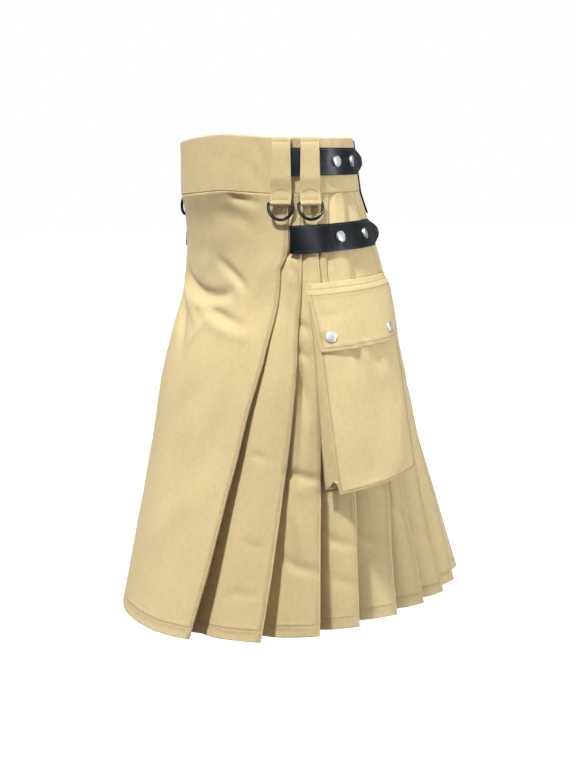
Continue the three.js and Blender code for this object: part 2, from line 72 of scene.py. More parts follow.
# Fold edges on the kilt's own left in degrees: drop, the apron's edge, then pleats 1 to 7.
EDGES = np.array([
    (68.5, 65.5, 72, 78, 92.5, 108.5, 122, 136, 149.5),
    (100, 61, 69.3, 78, 89.5, 105, 122.5, 137, 150),
    (138, 58, 66.5, 78, 85, 101.5, 126, 139.5, 151),
    (160, 51.5, 65.3, 78, 83.5, 101.5, 128, 141, 152),
    (220, 49, 63.5, 78, 85.5, 103, 126, 139, 150),
    (275, 46.5, 64.5, 78, 88, 104.5, 123.5, 136.5, 148.5),
    (340, 42, 63.5, 78, 90.5, 106.5, 121, 134, 146.5),
    (435, 37, 61, 78, 94, 109, 116.7, 130, 143),
    (530, 33.5, 59, 78.3, 93.5, 107, 117.3, 129.5, 142),
    (610, 29.5, 57, 78.5, 93.5, 106.5, 118, 129.5, 141.5),
], float)
# Drops where the first, second and later pleats are stitched down to; below, they open.
STITCHED = (205.0, 275.0, 215.0)
# Millimetres: how far a stitched pleat stands out, and how much more at the hem; the depth of its
# under-fold at the waist and how much more at the hem; the thickness of a fold, and more at the hem.
STAND, STAND_OPEN = 3.2, 24.8
UNDER, UNDER_OPEN = 16, 9
FOLD, FOLD_OPEN = 1.6, 0.8

# Creases in the cloth: (angle, drop) points, half width in mm, and depth in mm (troughs below 0).
CREASES = [
    ([(24, 68), (32.5, 76), (44, 79.5)], 5.5, -4.4),
    ([(10.5, 153), (18, 165), (25.5, 177), (29, 184)], 6.5, -5.2),
    ([(4, 146), (-4, 160), (-2, 176)], 11, 1.8),
    ([(-27.5, 171), (-18, 183), (-3.5, 195), (6.5, 198), (14.5, 196.5), (20, 192)], 7.5, -7.4),
    ([(-36, 182), (-22, 199), (-6, 209), (8, 211), (20, 208)], 7, 3.2),
    ([(3, 210), (11.5, 217.5), (21.5, 225), (31.5, 231)], 6, -5.6),
    ([(0, 220), (12, 230), (26, 239), (38, 243)], 8, 2.4),
    ([(-30, 189), (-20, 204), (-6.5, 222), (2, 236)], 6, 2.6),
    ([(-38, 196), (-28, 216), (-16, 240), (-10, 262)], 11, -6.0),
    ([(9, 222), (2.5, 241), (-6, 262)], 6, 2.0),
    ([(40, 112), (30, 100), (12, 92)], 11, -2.0),
    ([(46, 150), (40, 168), (36, 196)], 12, 1.8),
    ([(24, 120), (10, 128), (-12, 126)], 14, 1.5),
    ([(20, 300), (5, 330), (-8, 372)], 20, -2.6),
    ([(30, 420), (12, 460), (-6, 520)], 22, 2.4),
    ([(35, 300), (25, 380), (14, 470)], 24, -2.2),
    ([(54.5, 144), (60.5, 139), (64.5, 153)], 3.2, -2.8),
    ([(56, 150), (61, 147), (64, 160)], 3.5, 1.8),
    ([(58.5, 160), (57.5, 182)], 6, 2.2),
    ([(54, 200), (58, 216), (61, 240)], 5, -2.0),
    ([(45.5, 384), (49, 385), (54, 389)], 4, -2.0),
    ([(47, 489), (51.5, 496), (55, 500)], 4, -2.0),
    ([(40, 560), (46, 552), (52, 556)], 5, -1.6),
    ([(62, 404), (69.5, 411), (78, 417)], 5.5, -4.6),
    ([(64, 440), (68, 470), (70, 500)], 9, 2.4),
    ([(63.5, 221), (67, 229), (71, 236)], 3.6, -3.4),
    ([(64, 253), (67, 261), (71, 268)], 4, -3.6),
    ([(66, 286), (69, 306), (72, 334)], 5.5, -4.4),
    ([(66.5, 228), (68.5, 290), (68.5, 350), (68, 420)], 6, -6.0),
    ([(60, 504), (70, 524), (78, 531)], 6, -2.4),
    ([(80, 485), (86.5, 499), (93, 506)], 5, -2.2),
    ([(84, 540), (89, 552), (93, 556)], 5, -1.6),
    ([(96, 500), (101, 512), (106, 515)], 6, -1.8),
    ([(98, 425), (102.5, 438), (108, 446)], 5, -1.8),
    ([(110, 470), (114, 486), (117, 494)], 6, -1.8),
    ([(120, 520), (125, 530), (129, 531)], 6, -1.6),
    ([(150, 130), (165, 142), (180, 146), (196, 141)], 8, -3.4),
    ([(160, 210), (172, 222), (190, 221)], 8, -2.6),
    ([(203, 188), (214, 199), (226, 201)], 8, -2.6),
    ([(146, 330), (158, 342), (170, 346)], 8, -2.4),
    ([(186, 400), (198, 411), (210, 414)], 8, -2.4),
    ([(164, 500), (176, 508), (188, 507)], 7, -2.0),
    ([(218, 470), (228, 482), (240, 485)], 7, -2.0),
    ([(286, 405), (292, 411), (300, 414)], 6, -2.6),
    ([(262, 490), (270, 502), (281, 505)], 6, -2.0),
    ([(300, 380), (308, 388), (318, 388)], 6, -2.2),
]
# Creases in the waistband, in the same columns.
BAND_CREASES = [
    ([(-4.5, 4), (-4.8, 34), (-4.4, 64)], 2.4, -0.9),
    ([(46, 8), (51, 26), (54, 48), (55, 64)], 4.5, -1.5),
    ([(36, 30), (44, 44), (50, 62)], 6, -1.0),
    ([(69, 2), (71.5, 14), (70.5, 30)], 2.6, -1.3),
    ([(71, 48), (69.5, 58), (70.5, 66)], 2.6, -1.2),
    ([(89, 1), (89.4, 10), (89, 20)], 2.2, -1.2),
    ([(98, 1), (98.2, 9), (98, 20)], 2.0, -1.1),
    ([(93, 2), (93.5, 12)], 4, 0.7),
    ([(92, 50), (97, 57), (104, 60)], 4, -0.8),
    ([(112, 50), (118, 58), (128, 62)], 4, -0.8),
    ([(-40, 14), (-30, 22), (-16, 26)], 8, -0.8),
    ([(10, 20), (20, 30), (32, 34)], 9, -0.7),
    ([(170, 12), (182, 24), (196, 28)], 7, -0.9),
    ([(262, 10), (270, 24), (276, 48)], 6, -1.1),
]


def smooth(t):
    """0 to 1 with soft ends, for t from 0 to 1."""
    t = np.clip(t, 0.0, 1.0)
    return t * t * (3 - 2 * t)


def bell(distance, width):
    """1 at no distance, falling off over `width`."""
    return np.exp(-((distance / width) ** 2))


def unit(rows):
    """Vectors made one long."""
    return rows / np.maximum(np.linalg.norm(rows, axis=-1, keepdims=True), 1e-9)


def hermite(x, xs, ys, slopes):
    """Cubic curve through a table of points with given slopes."""
    i = np.clip(np.searchsorted(xs, x) - 1, 0, len(xs) - 2)
    h = xs[i + 1] - xs[i]
    t = (x - xs[i]) / h
    return ((2 * t**3 - 3 * t**2 + 1) * ys[i] + (t**3 - 2 * t**2 + t) * h * slopes[i]
            + (3 * t**2 - 2 * t**3) * ys[i + 1] + (t**3 - t**2) * h * slopes[i + 1])


def through(x, xs, ys):
    """Smooth curve through a table, with slopes taken from the points on both sides."""
    return hermite(np.clip(np.asarray(x, float), xs[0], xs[-1]), xs, ys, np.gradient(ys, xs))


def reach(column, drop):
    """One column of the envelope; the band itself is a plain cone."""
    curve = through(drop, ENVELOPE[:, 0], ENVELOPE[:, column])
    cone = np.interp(drop, ENVELOPE[:2, 0], ENVELOPE[:2, column])
    return np.where(np.asarray(drop) <= ENVELOPE[1, 0], cone, curve)


def rim_height(angle):
    """Height of the band's top edge."""
    a = (np.asarray(angle, float) + 180) % 360 - 180
    rise = RIM["rise"] * bell(a - RIM["rise_at"], RIM["rise_wide"])
    return RIM["level"] + rise - RIM["dip"] * bell(a - RIM["dip_at"], RIM["dip_wide"])


def bare(angle, drop, out=0.0):
    """Points in mm on the uncreased envelope, moved out by `out`."""
    angle, drop, out = np.broadcast_arrays(np.asarray(angle, float), drop, out)
    s, c = np.sin(np.radians(angle)), np.cos(np.radians(angle))
    depth = np.where(c > 0, reach(2, drop), reach(3, drop))
    top, hem = rim_height(angle), HEM_SIDE + (HEM_FRONT - HEM_SIDE) * c
    return np.stack([(reach(1, drop) + out) * s, -(depth + out) * c,
                     top + (hem - top) * drop / LENGTH], axis=-1)


def degree(angle, drop):
    """Length in mm of one degree on the envelope."""
    a = bare(np.asarray(angle) + 0.5, drop)[..., :2] - bare(np.asarray(angle) - 0.5, drop)[..., :2]
    return np.sqrt((a * a).sum(-1))


def from_line(x, y, ax, ay, bx, by):
    """Share along the line from a to b, and distance from it, of points (x, y)."""
    wide, tall = bx - ax, by - ay
    t = np.clip(((x - ax) * wide + (y - ay) * tall) / (wide**2 + tall**2), 0, 1)
    return t, np.hypot(x - ax - t * wide, y - ay - t * tall)


def crease_depth(angle, drop, creases=CREASES):
    """How far the creases move the cloth out at a place on the wrap."""
    angle, drop = np.broadcast_arrays(np.asarray(angle, float), drop)
    total = np.zeros(angle.shape)
    turn = np.where(angle > 330, angle - 360, angle)
    for points, width, depth in creases:
        knots = np.array(points, float)
        scale = float(degree(knots[:, 0].mean(), knots[:, 1].mean()))
        knots[:, 0] *= scale
        best = np.full(angle.shape, 1e9)
        along = np.zeros(angle.shape)
        for k in range(len(knots) - 1):
            t, near = from_line(turn * scale, drop, *knots[k], *knots[k + 1])
            along = np.where(near < best, (k + t) / (len(knots) - 1), along)
            best = np.minimum(best, near)
        taper = 0.35 + 0.65 * np.sin(np.pi * np.clip(along, 0.02, 0.98))
        total += depth * taper * bell(best, width)
    return total


def free_edge(drop):
    """The over apron's free edge, on the kilt's own right."""
    apron = np.interp(drop, EDGES[:, 0], EDGES[:, 1])
    hung = -apron - 3.5 * (1 - smooth(2 * np.asarray(drop) / LENGTH))
    return np.where(np.asarray(drop) <= BAND_DEPTH, BAND_START, hung)


def wound(angle, drop=0.0):
    """How far the wrap has wound inwards at an angle."""
    a = np.where(np.asarray(angle) < free_edge(drop), np.asarray(angle) + 360.0, angle)
    return np.where(a < WIND_FROM, 0.0, BAND_SHIFT * smooth((a - WIND_FROM) / WIND_SPAN))


def on(side, angle, drop, out=0.0):
    """Points on either side of the kilt: side 1 is its own left, side -1 its right."""
    turned = side * np.asarray(angle, float)
    return bare(turned, drop, out - wound(turned, drop))


# The wrap's sections


def edges_at(drop):
    """Fold edges at a drop: 0 is the apron's left edge, 1 to 18 are the pleats'."""
    left = [float(through(drop, EDGES[:, 0], EDGES[:, k])) for k in range(1, 9)]
    left[0] = float(np.interp(drop, EDGES[:, 0], EDGES[:, 1]))
    back = [left[7] + (360 - 2 * left[7]) * k / 5 for k in range(1, 5)]
    return left + back + [360 - a for a in left[:0:-1]]


def stand_at(i, drop):
    """How far fold edge i stands out over the cloth below it."""
    first = STITCHED[min(2, max(0, min(i, PLEATS + 1 - i)))]
    opened = max(0.0, (drop - first) / (LENGTH - first))
    return STAND + STAND_OPEN * opened**1.2


def face_curve(knots, values, samples):
    """Monotone curve through a few knots, for a pleat's rounded face."""
    rise = np.diff(values) / np.diff(knots)
    slope = np.zeros(len(knots))
    slope[0], slope[-1] = rise[0], rise[-1]
    for k in range(1, len(knots) - 1):
        if rise[k - 1] * rise[k] > 0:
            slope[k] = 2 * rise[k - 1] * rise[k] / (rise[k - 1] + rise[k])
    return hermite(samples, knots, values, slope)


# A face's last points before its fold edge, in mm, and its others as shares of its width.
NEAR_EDGE = (9.0, 6.0, 4.2, EDGE_STITCH, 1.9)
ON_FACE = (0.0, 0.07, 0.15, 0.23, 0.31, 0.39, 0.47, 0.55, 0.62)
APRON_COLUMNS, APRON_EDGE = 110, 12.0
UNDER_COLUMNS, UNDER_LEAST, MM_PER_DEGREE = 70, 6.0, 2.2
FOLD_STEPS = range(1, 5)
PANELS = ("over_apron", "pleats_left", "pleats_back", "pleats_right", "under_apron")


def section(drop):
    """One section of the wrap. Each panel is a list of (angle, depth, mm from its fold edge)."""
    edges = edges_at(drop)
    low = drop / LENGTH
    fold = FOLD + FOLD_OPEN * low
    per_mm = [1 / float(degree(a, drop)) for a in edges]

    def under(i):
        gap = 30 if i == 0 else edges[i] - edges[i - 1]
        return min((UNDER + UNDER_OPEN * low) * per_mm[i], 0.6 * gap)

    def at(angle, depth, near):
        return (angle, depth + CLOTH_DEPTH + float(wound(angle)), near)

    def fold_over(i):
        """Round the fold edge and back underneath to the hidden inner fold."""
        stand, k = stand_at(i, drop), per_mm[i]
        centre, points = edges[i] - 0.5 * fold * k, []
        for step in FOLD_STEPS:
            turn = math.pi * step / 4
            points.append(at(centre + 0.5 * fold * k * math.sin(turn),
                             0.5 * fold * (1 - math.cos(turn)), 0.0))
        inner = edges[i] - under(i) + 0.5 * fold * k
        for t in (0.33, 0.67, 1.0):
            points.append(at(centre + (inner - centre) * t, fold + (stand - 2 * fold) * t, HIDDEN))
        return points

    parts = {name: [] for name in PANELS}
    right, left = float(free_edge(drop)), edges[0]
    scale = 1 / per_mm[0]
    apron = parts["over_apron"]
    for k in range(APRON_COLUMNS):
        angle = right + (left - APRON_EDGE * per_mm[0] - right) * k / APRON_COLUMNS
        apron.append(at(angle, 0, (angle - right) * scale))
    apron += [at(left - near * per_mm[0], 0, near) for near in (APRON_EDGE, *NEAR_EDGE)]
    apron += fold_over(0)

    for i in range(1, PLEATS + 1):
        part = parts[PANELS[1 + (i - 1) // 6]]
        before, stand = stand_at(i - 1, drop), stand_at(i, drop)
        k = per_mm[i - 1]
        inner = edges[i - 1] - under(i - 1)
        for step in FOLD_STEPS:
            turn = math.pi * step / 4
            if step == 1 and (i - 1) % 6 == 0:
                continue
            part.append(at(inner + 0.5 * fold * k * (1 - math.sin(turn)),
                           before - 0.5 * fold * (1 + math.cos(turn)), HIDDEN))
        clear = edges[i - 1] + 1.2 * k
        hidden = edges[i] - under(i)
        part.append(at(0.5 * (inner + clear), before, HIDDEN))
        knots = np.array([clear, clear + 0.4 * (hidden - clear), hidden, edges[i]])
        tucked = max(0.0, min(0.3 * stand, stand - 2 * fold - 0.1))
        depths = np.array([before, before * 0.66, tucked, 0.0])
        last = edges[i] - 0.5 * fold * per_mm[i]
        span = (last - clear) / per_mm[i]
        places = [clear + (last - clear) * t for t in ON_FACE]
        limit = 0.34 * span
        places += [last - min(near, limit * near / 9) * per_mm[i] for near in NEAR_EDGE]
        values = face_curve(knots, depths, np.array(places))
        for angle, depth in zip(places, values):
            part.append(at(angle, float(depth), (edges[i] - angle) / per_mm[i]))
        part += fold_over(i)

    lowest = stand_at(PLEATS, drop)
    behind = STAND + stand_at(0, drop) + CLOTH_DEPTH + 2
    first, free = edges[PLEATS], 360 + right
    inside = 360 + left - under(0) - 12
    knots = [first - under(PLEATS), first, max(free, first + 4), inside, BAND_END]
    depths = [lowest + CLOTH_DEPTH + BAND_SHIFT] * 2
    depths += [max((behind - 2) * 0.6, 6.2), behind, behind]
    for angle in (knots[0], 0.5 * (knots[0] + first), *np.linspace(first, BAND_END, UNDER_COLUMNS)):
        depth = float(np.interp(angle, knots, depths))
        if angle > first:
            depth = UNDER_LEAST if low < 0.13 else max(UNDER_LEAST, depth)
        parts["under_apron"].append((angle, depth, (BAND_END - angle) * MM_PER_DEGREE))
    return parts


# Making meshes

UV_PER_M = 10


def new_object(name, points, faces, material, seams=None, uv=None):
    """A piece of the kilt from points in mm, with its seam distance and cloth coordinates."""
    mesh = bpy.data.meshes.new(name)
    mesh.from_pydata((np.asarray(points) * MM).tolist(), [], faces)
    mesh.materials.append(material)
    if seams is not None:
        layer = mesh.attributes.new("seam", "FLOAT", "POINT")
        layer.data.foreach_set("value", np.asarray(seams, np.float32))
    if uv is not None:
        layer = mesh.uv_layers.new(name="cloth")
        order = np.empty(len(mesh.loops), np.int32)
        mesh.loops.foreach_get("vertex_index", order)
        places = np.asarray(uv, float)[order] * MM * UV_PER_M
        layer.data.foreach_set("uv", places.astype(np.float32).ravel())
    mesh.update()
    mesh.shade_smooth()
    made = bpy.data.objects.new(name, mesh)
    bpy.context.scene.collection.objects.link(made)
    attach(made, "kilt")
    return made


def sheet_faces(rows, cols):
    """Faces of a shell with an outer and an inner grid, closed round its rim."""
    faces = []
    n = rows * cols
    for r in range(rows - 1):
        for c in range(cols - 1):
            a = r * cols + c
            faces.append((a, a + cols, a + cols + 1, a + 1))
            faces.append((n + a, n + a + 1, n + a + cols + 1, n + a + cols))
    rim = list(range(cols)) + [r * cols + cols - 1 for r in range(1, rows)]
    rim += [(rows - 1) * cols + c for c in range(cols - 2, -1, -1)]
    rim += [r * cols for r in range(rows - 2, 0, -1)]
    for k, a in enumerate(rim):
        b = rim[(k + 1) % len(rim)]
        faces.append((a, b, n + b, n + a))
    return faces


def face_outwards(points, faces):
    """Turns every face over if the closed shell is inside out."""
    corner = np.asarray(points)[np.array(faces)]
    fans = [np.cross(corner[:, k], corner[:, k + 1]) for k in (1, 2)]
    volume = sum(float((corner[:, 0] * fan).sum()) for fan in fans)
    return faces if volume > 0 else [tuple(reversed(f)) for f in faces]


def shell(name, outer, inner, seams, *uv):
    """A closed shell of twill from an outer and an inner grid of points in mm."""
    rows, cols = outer.shape[:2]
    points = np.concatenate([outer.reshape(-1, 3), inner.reshape(-1, 3)])
    faces = face_outwards(points, sheet_faces(rows, cols))
    double = (lambda a: np.concatenate([a.reshape(rows * cols, -1)] * 2).squeeze())
    return new_object(name, points, faces, khaki, double(seams), double(np.stack(uv, axis=-1)))


# Shader helpers


class Value:
    """A socket that can be used in Python expressions."""

    def __init__(self, look, socket):
        self.look = look
        self.socket = socket

    def _math(self, operation, *values):
        return self.look.node("ShaderNodeMath", {"operation": operation}, dict(enumerate(values)))

    def __add__(self, other):
        return self._math("ADD", self, other)

    def __sub__(self, other):
        return self._math("SUBTRACT", self, other)

    def __rsub__(self, other):
        return self._math("SUBTRACT", other, self)

    def __mul__(self, other):
        return self._math("MULTIPLY", self, other)

    __radd__ = __add__
    __rmul__ = __mul__

    def absolute(self):
        return self._math("ABSOLUTE", self)

    def between(self, low, high):
        """Smooth step of this value from low to high."""
        return self.look.node("ShaderNodeMapRange", {"interpolation_type": "SMOOTHSTEP"},
                              {"Value": self, "From Min": low, "From Max": high})


class Look:
    """A material built from expressions."""

    def __init__(self, name):
        self.material = bpy.data.materials.new(name)
        self.material.use_nodes = True
        self.tree = self.material.node_tree
        self.tree.nodes.clear()
        self.output = self.tree.nodes.new("ShaderNodeOutputMaterial")
        self.surface = self.tree.nodes.new("ShaderNodeBsdfPrincipled")
        self.tree.links.new(self.surface.outputs[0], self.output.inputs["Surface"])

    def put(self, socket, value):
        if isinstance(value, Value):
            self.tree.links.new(value.socket, socket)
        else:
            socket.default_value = value

    def node(self, kind, settings, inputs, output=0):
        made = self.tree.nodes.new(kind)
        for key, value in settings.items():
            setattr(made, key, value)
        for key, value in inputs.items():
            self.put(made.inputs[key], value)
        return Value(self, made.outputs[output])

    def noise(self, vector, scale, detail, rough):
        return self.node("ShaderNodeTexNoise", {},
                         {"Vector": vector, "Scale": scale, "Detail": detail, "Roughness": rough})

    def blend(self, factor, a, b):
        return self.node("ShaderNodeMix", {"data_type": "RGBA"}, {0: factor, 6: a, 7: b}, 2)

    def place(self):
        return self.node("ShaderNodeTexCoord", {}, {}, "Object")

    def stretch(self, vector, scale):
        return self.node("ShaderNodeMapping", {}, {"Vector": vector, "Scale": scale})

    def bump(self, height, distance, strength=1.0, normal=None):
        inputs = {"Height": height, "Distance": distance, "Strength": strength}
        if normal is not None:
            inputs["Normal"] = normal
        return self.node("ShaderNodeBump", {}, inputs)

    def finish(self, **sockets):
        for key, value in sockets.items():
            self.put(self.surface.inputs[key.replace("_", " ")], value)
        return self.material


def colour(r, g, b):
    """Linear colour from an sRGB triple out of 255."""
    def line(v):
        v /= 255
        return v / 12.92 if v <= 0.04045 else ((v + 0.055) / 1.055) ** 2.4
    return (line(r), line(g), line(b), 1)


def twill(name):
    """Khaki cotton twill: diagonal weave, slubs, faint mottling, dents along its stitch lines
    darkened as painted shade, and fold edges paled as wear and painted highlight.
    """
    look = Look(name)
    place = look.place()
    cloth = look.node("ShaderNodeUVMap", {"uv_map": "cloth"}, {})
    weave = look.node("ShaderNodeTexWave", {"wave_type": "BANDS", "bands_direction": "DIAGONAL"},
                      {"Vector": cloth, "Scale": 52.0, "Distortion": 1.6, "Detail": 1.0,
                       "Detail Scale": 4.0})
    weave = look.node("ShaderNodeSeparateColor", {}, {"Color": weave})
    slub = look.noise(look.stretch(cloth, (5.0, 110.0, 1.0)), 4.0, 4.0, 0.65)
    cross = look.noise(look.stretch(cloth, (110.0, 5.0, 1.0)), 4.0, 4.0, 0.65)
    cloudy = look.noise(place, 11.0, 3.0, 0.55)
    mottled = look.noise(place, 150.0, 4.0, 0.65)
    pale, deep = colour(221, 200, 154), colour(207, 185, 136)
    tone = (cloudy * 0.2 + mottled * 0.4 + slub * 0.22 + cross * 0.22).between(0.34, 0.7)
    base = look.blend(tone, deep, pale)
    base = look.blend((1 - weave) * 0.14, base, colour(160, 138, 92))
    height = weave * 0.5 + slub * 0.4 + cross * 0.4 + mottled * 0.35
    normal = look.bump(height, 0.00026, 0.8)
    seam = look.node("ShaderNodeAttribute", {"attribute_name": "seam"}, {}, "Fac")
    from_stitch = (seam - EDGE_STITCH).absolute()
    groove = 1 - from_stitch.between(0.2, 1.5)
    edge = 1 - seam.between(0.0, 2.0)
    # Painted shade: the cloth darkens in the dent along each stitch line.
    base = look.blend(groove * 0.08, base, colour(150, 122, 74))
    # Fold edges paler: partly rubbed wear, partly painted highlight.
    base = look.blend(edge * 0.25, base, colour(236, 222, 182))
    pucker = look.noise(look.stretch(cloth, (14.0, 14.0, 1.0)), 9.0, 2.0, 0.5)
    near = 1 - from_stitch.between(0.5, 7.0)
    normal = look.bump(groove * -0.25 + near * pucker * 1.1, 0.0011, 0.9, normal)
    return look.finish(Base_Color=base, Roughness=mottled * 0.1 + 0.84, Normal=normal,
                       Sheen_Weight=0.12, Sheen_Roughness=0.5, Specular_IOR_Level=0.2)


def black_leather(name):
    """Black leather: fine grain, slight unevenness, rubbed patches and a soft bluish gloss."""
    look = Look(name)
    place = look.place()
    grain = look.node("ShaderNodeTexVoronoi", {"feature": "DISTANCE_TO_EDGE"},
                      {"Vector": place, "Scale": 620.0})
    fine = look.noise(place, 1100.0, 3.0, 0.6)
    broad = look.noise(look.stretch(place, (60.0, 60.0, 20.0)), 1.0, 3.0, 0.6)
    worn = look.noise(place, 200.0, 4.0, 0.65).between(0.35, 0.8)
    base = look.blend(worn * 0.4, colour(4, 6, 9), colour(12, 16, 22))
    height = grain.between(0.0, 0.14) * 0.7 + fine * 0.35
    normal = look.bump(height, 0.00014, 0.6)
    normal = look.bump(broad, 0.0009, 0.3, normal)
    return look.finish(Base_Color=base, Roughness=fine * 0.06 + worn * 0.05 + 0.25, Normal=normal,
                       Specular_IOR_Level=0.22, Specular_Tint=(0.84, 0.93, 1.0, 1))


def darker(shade, share):
    """A linear colour at a share of its strength."""
    return (*(v * share for v in shade[:3]), 1)


def metal(name, shade, rough, metallic=1.0, scratch=0.4):
    """Brushed or plated metal with fine scratches and slightly uneven polish."""
    look = Look(name)
    place = look.place()
    lines = look.noise(look.stretch(place, (1400.0, 1400.0, 90.0)), 1.0, 3.0, 0.6)
    cloudy = look.noise(place, 160.0, 3.0, 0.6)
    base = look.blend(cloudy.between(0.3, 0.7) * 0.5, shade, darker(shade, 0.72))
    return look.finish(Base_Color=base, Roughness=lines * 0.14 + cloudy * 0.08 + rough,
                       Metallic=metallic, Normal=look.bump(lines, 0.00006, scratch))


def thread(name, shade):
    """Twisted sewing thread."""
    look = Look(name)
    twist = look.node("ShaderNodeTexWave", {"bands_direction": "DIAGONAL"},
                      {"Vector": look.place(), "Scale": 900.0, "Distortion": 1.0})
    twist = look.node("ShaderNodeSeparateColor", {}, {"Color": twist})
    base = look.blend(twist, darker(shade, 0.82), shade)
    return look.finish(Base_Color=base, Roughness=twist * 0.1 + 0.6,
                       Normal=look.bump(twist, 0.0001, 0.5))


khaki = twill("khaki_twill")
leather = black_leather("black_leather")
steel = metal("brushed_snap", colour(200, 201, 199), 0.38)
wire = metal("black_wire", colour(58, 58, 62), 0.13, 0.95, 0.25)
# Tan thread in a brownish shade darker than the cloth: partly its own colour, partly painted shade
# of the stitch dents.
tan_thread = thread("tan_thread", colour(138, 108, 60))
# Black thread, its colour lifted to a bluish grey as a painted sheen of glossy thread.
black_thread = thread("black_thread", colour(74, 82, 94))


def declare(piece, slot, *nodes):
    """Hides the imported solids that a piece stands for."""
    if nodes:
        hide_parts(*nodes)


def cut_size(grid):
    """Width, length and area in metres of the flat cloth that a grid of points was cut from."""
    wide = np.linalg.norm(np.diff(grid, axis=1), axis=2)
    tall = np.linalg.norm(np.diff(grid, axis=0), axis=2)
    cell = 0.25 * (wide[1:] + wide[:-1]) * (tall[:, 1:] + tall[:, :-1])
    width, length = float(wide.sum(1).max()), float(tall.sum(0).max())
    return width * MM, length * MM, min(float(cell.sum()), width * length) * MM * MM


def declare_cloth(piece, node, grid, held, *rests_on):
    """Hides the solid that a cloth piece stands for, and works out the width, length and area of its
    cut sheet.
    """
    declare(piece, "khaki_twill", node)
    width, length, area = cut_size(grid)
    width, length = round(width, 3), round(length, 3)


# Skirt panels


# Drops of the skirt's rows: even down the cloth and closer at the turned hem.
ROWS = [PANEL_TOP, 69.6, 72.0, *np.arange(76.0, 588.0, 4.4),
        590.0, 593.5, 595.3, HEM_ROW, 597.5, 601.0, 605.5, 608.3, 609.5, LENGTH]
SECTIONS = [section(drop) for drop in ROWS]
GRIDS = {}


def wander(angle, drop):
    """Slow unevenness of hanging cloth, in mm."""
    a = np.radians(angle)
    return (0.5 * np.sin(7 * a + drop / 61 + 1.0) + 0.35 * np.sin(13 * a - drop / 37 + 2.1)
            + 0.22 * np.sin(29 * a + drop / 23 + 0.7))


def lengths(lines):
    """Arc length along each row of a grid of points."""
    steps = np.linalg.norm(np.diff(lines, axis=1), axis=2)
    return np.concatenate([np.zeros((len(lines), 1)), np.cumsum(steps, axis=1)], axis=1)


def grid_normals(grid):
    """Unit normals of a grid of points, in plan."""
    d = unit(np.gradient(grid, axis=1)[..., :2])
    return np.stack([d[..., 1], -d[..., 0], np.zeros(d.shape[:2])], axis=-1)


def skirt_panel(name):
    """One panel of the wrap as a shell on its solid's form, with creases and a turned hem."""
    rows = np.array([parts[name] for parts in SECTIONS])
    angle, depth, near = rows[..., 0], rows[..., 1], rows[..., 2]
    drop = np.repeat(np.array(ROWS)[:, None], angle.shape[1], axis=1)
    free = smooth((drop - PANEL_TOP) / 8)
    moved = crease_depth(angle, drop) * free + (wander(angle, drop) - 0.8) * free * 0.9
    moved -= 0.5 * bell(drop - 604, 5) * (0.4 + np.sin(angle * 1.9) * np.sin(angle * 0.7))
    moved -= 0.35 * bell(drop - HEM_STITCH, 2.2) + 0.25 * bell(near - EDGE_STITCH, 1.1)
    middle = bare(angle, drop, moved - depth)
    normals = grid_normals(middle)
    lip = np.where((drop == ROWS[0]) | (drop == ROWS[-1]), 0.45, 1.0)
    turned_hem = np.where((drop > HEM_STITCH) & (drop < ROWS[-1]), 0.35, 0.0)
    outer = middle + normals * (CLOTH / 2 * lip)[..., None]
    inner = middle - normals * (CLOTH / 2 * lip + turned_hem)[..., None]
    seams = np.minimum(near, np.abs(drop - HEM_STITCH) + EDGE_STITCH)
    made = shell(name + "_cloth", outer, inner, seams, lengths(middle), drop)
    declare_cloth(made, name, middle, "hung", "waistband")
    GRIDS[name] = (outer, inner, near)


for part_name in PANELS:
    skirt_panel(part_name)

# Waistband

BAND_ROWS = (0.0, 0.35, 1.2, 2.4, 4.2, 7, 13, 20, 28, 36, 44, 52, 58, 61.5, 63.5, 64.6, 65.6, 66.6,
             67.3, 67.9, BAND_DEPTH)
BAND_COLUMNS, BAND_STITCH, BAND_INSET = 372, 65.0, 0.15


def waistband():
    """The band as one folded strip, wound round with the wrap."""
    angle, drop = np.meshgrid(np.linspace(BAND_START, BAND_END, BAND_COLUMNS), np.array(BAND_ROWS))
    lip = np.minimum(1.0, np.minimum(drop / 1.2 + 0.35, (BAND_DEPTH - drop) / 0.9 + 0.35))
    soft = -0.06 * bell(drop - BAND_STITCH, 0.9)
    soft += 0.18 * np.sin(np.radians(angle) * 21 + drop / 9) * np.sin(np.pi * drop / BAND_DEPTH)
    soft += crease_depth(angle, drop, BAND_CREASES) * smooth(drop / 3)
    shift = BAND_SHIFT * smooth((angle - WIND_FROM) / WIND_SPAN)
    middle = bare(angle, drop, soft - BAND_WALL / 2 - shift - BAND_INSET)
    normals = grid_normals(middle) * ((BAND_WALL / 2 - BAND_INSET) * lip)[..., None]
    made = shell("waistband_cloth", middle + normals, middle - normals, np.full(drop.shape, 9.0),
                 lengths(middle), drop)
    declare_cloth(made, "waistband", middle, "folded", "over_apron", "under_apron")


waistband()

# Sewing


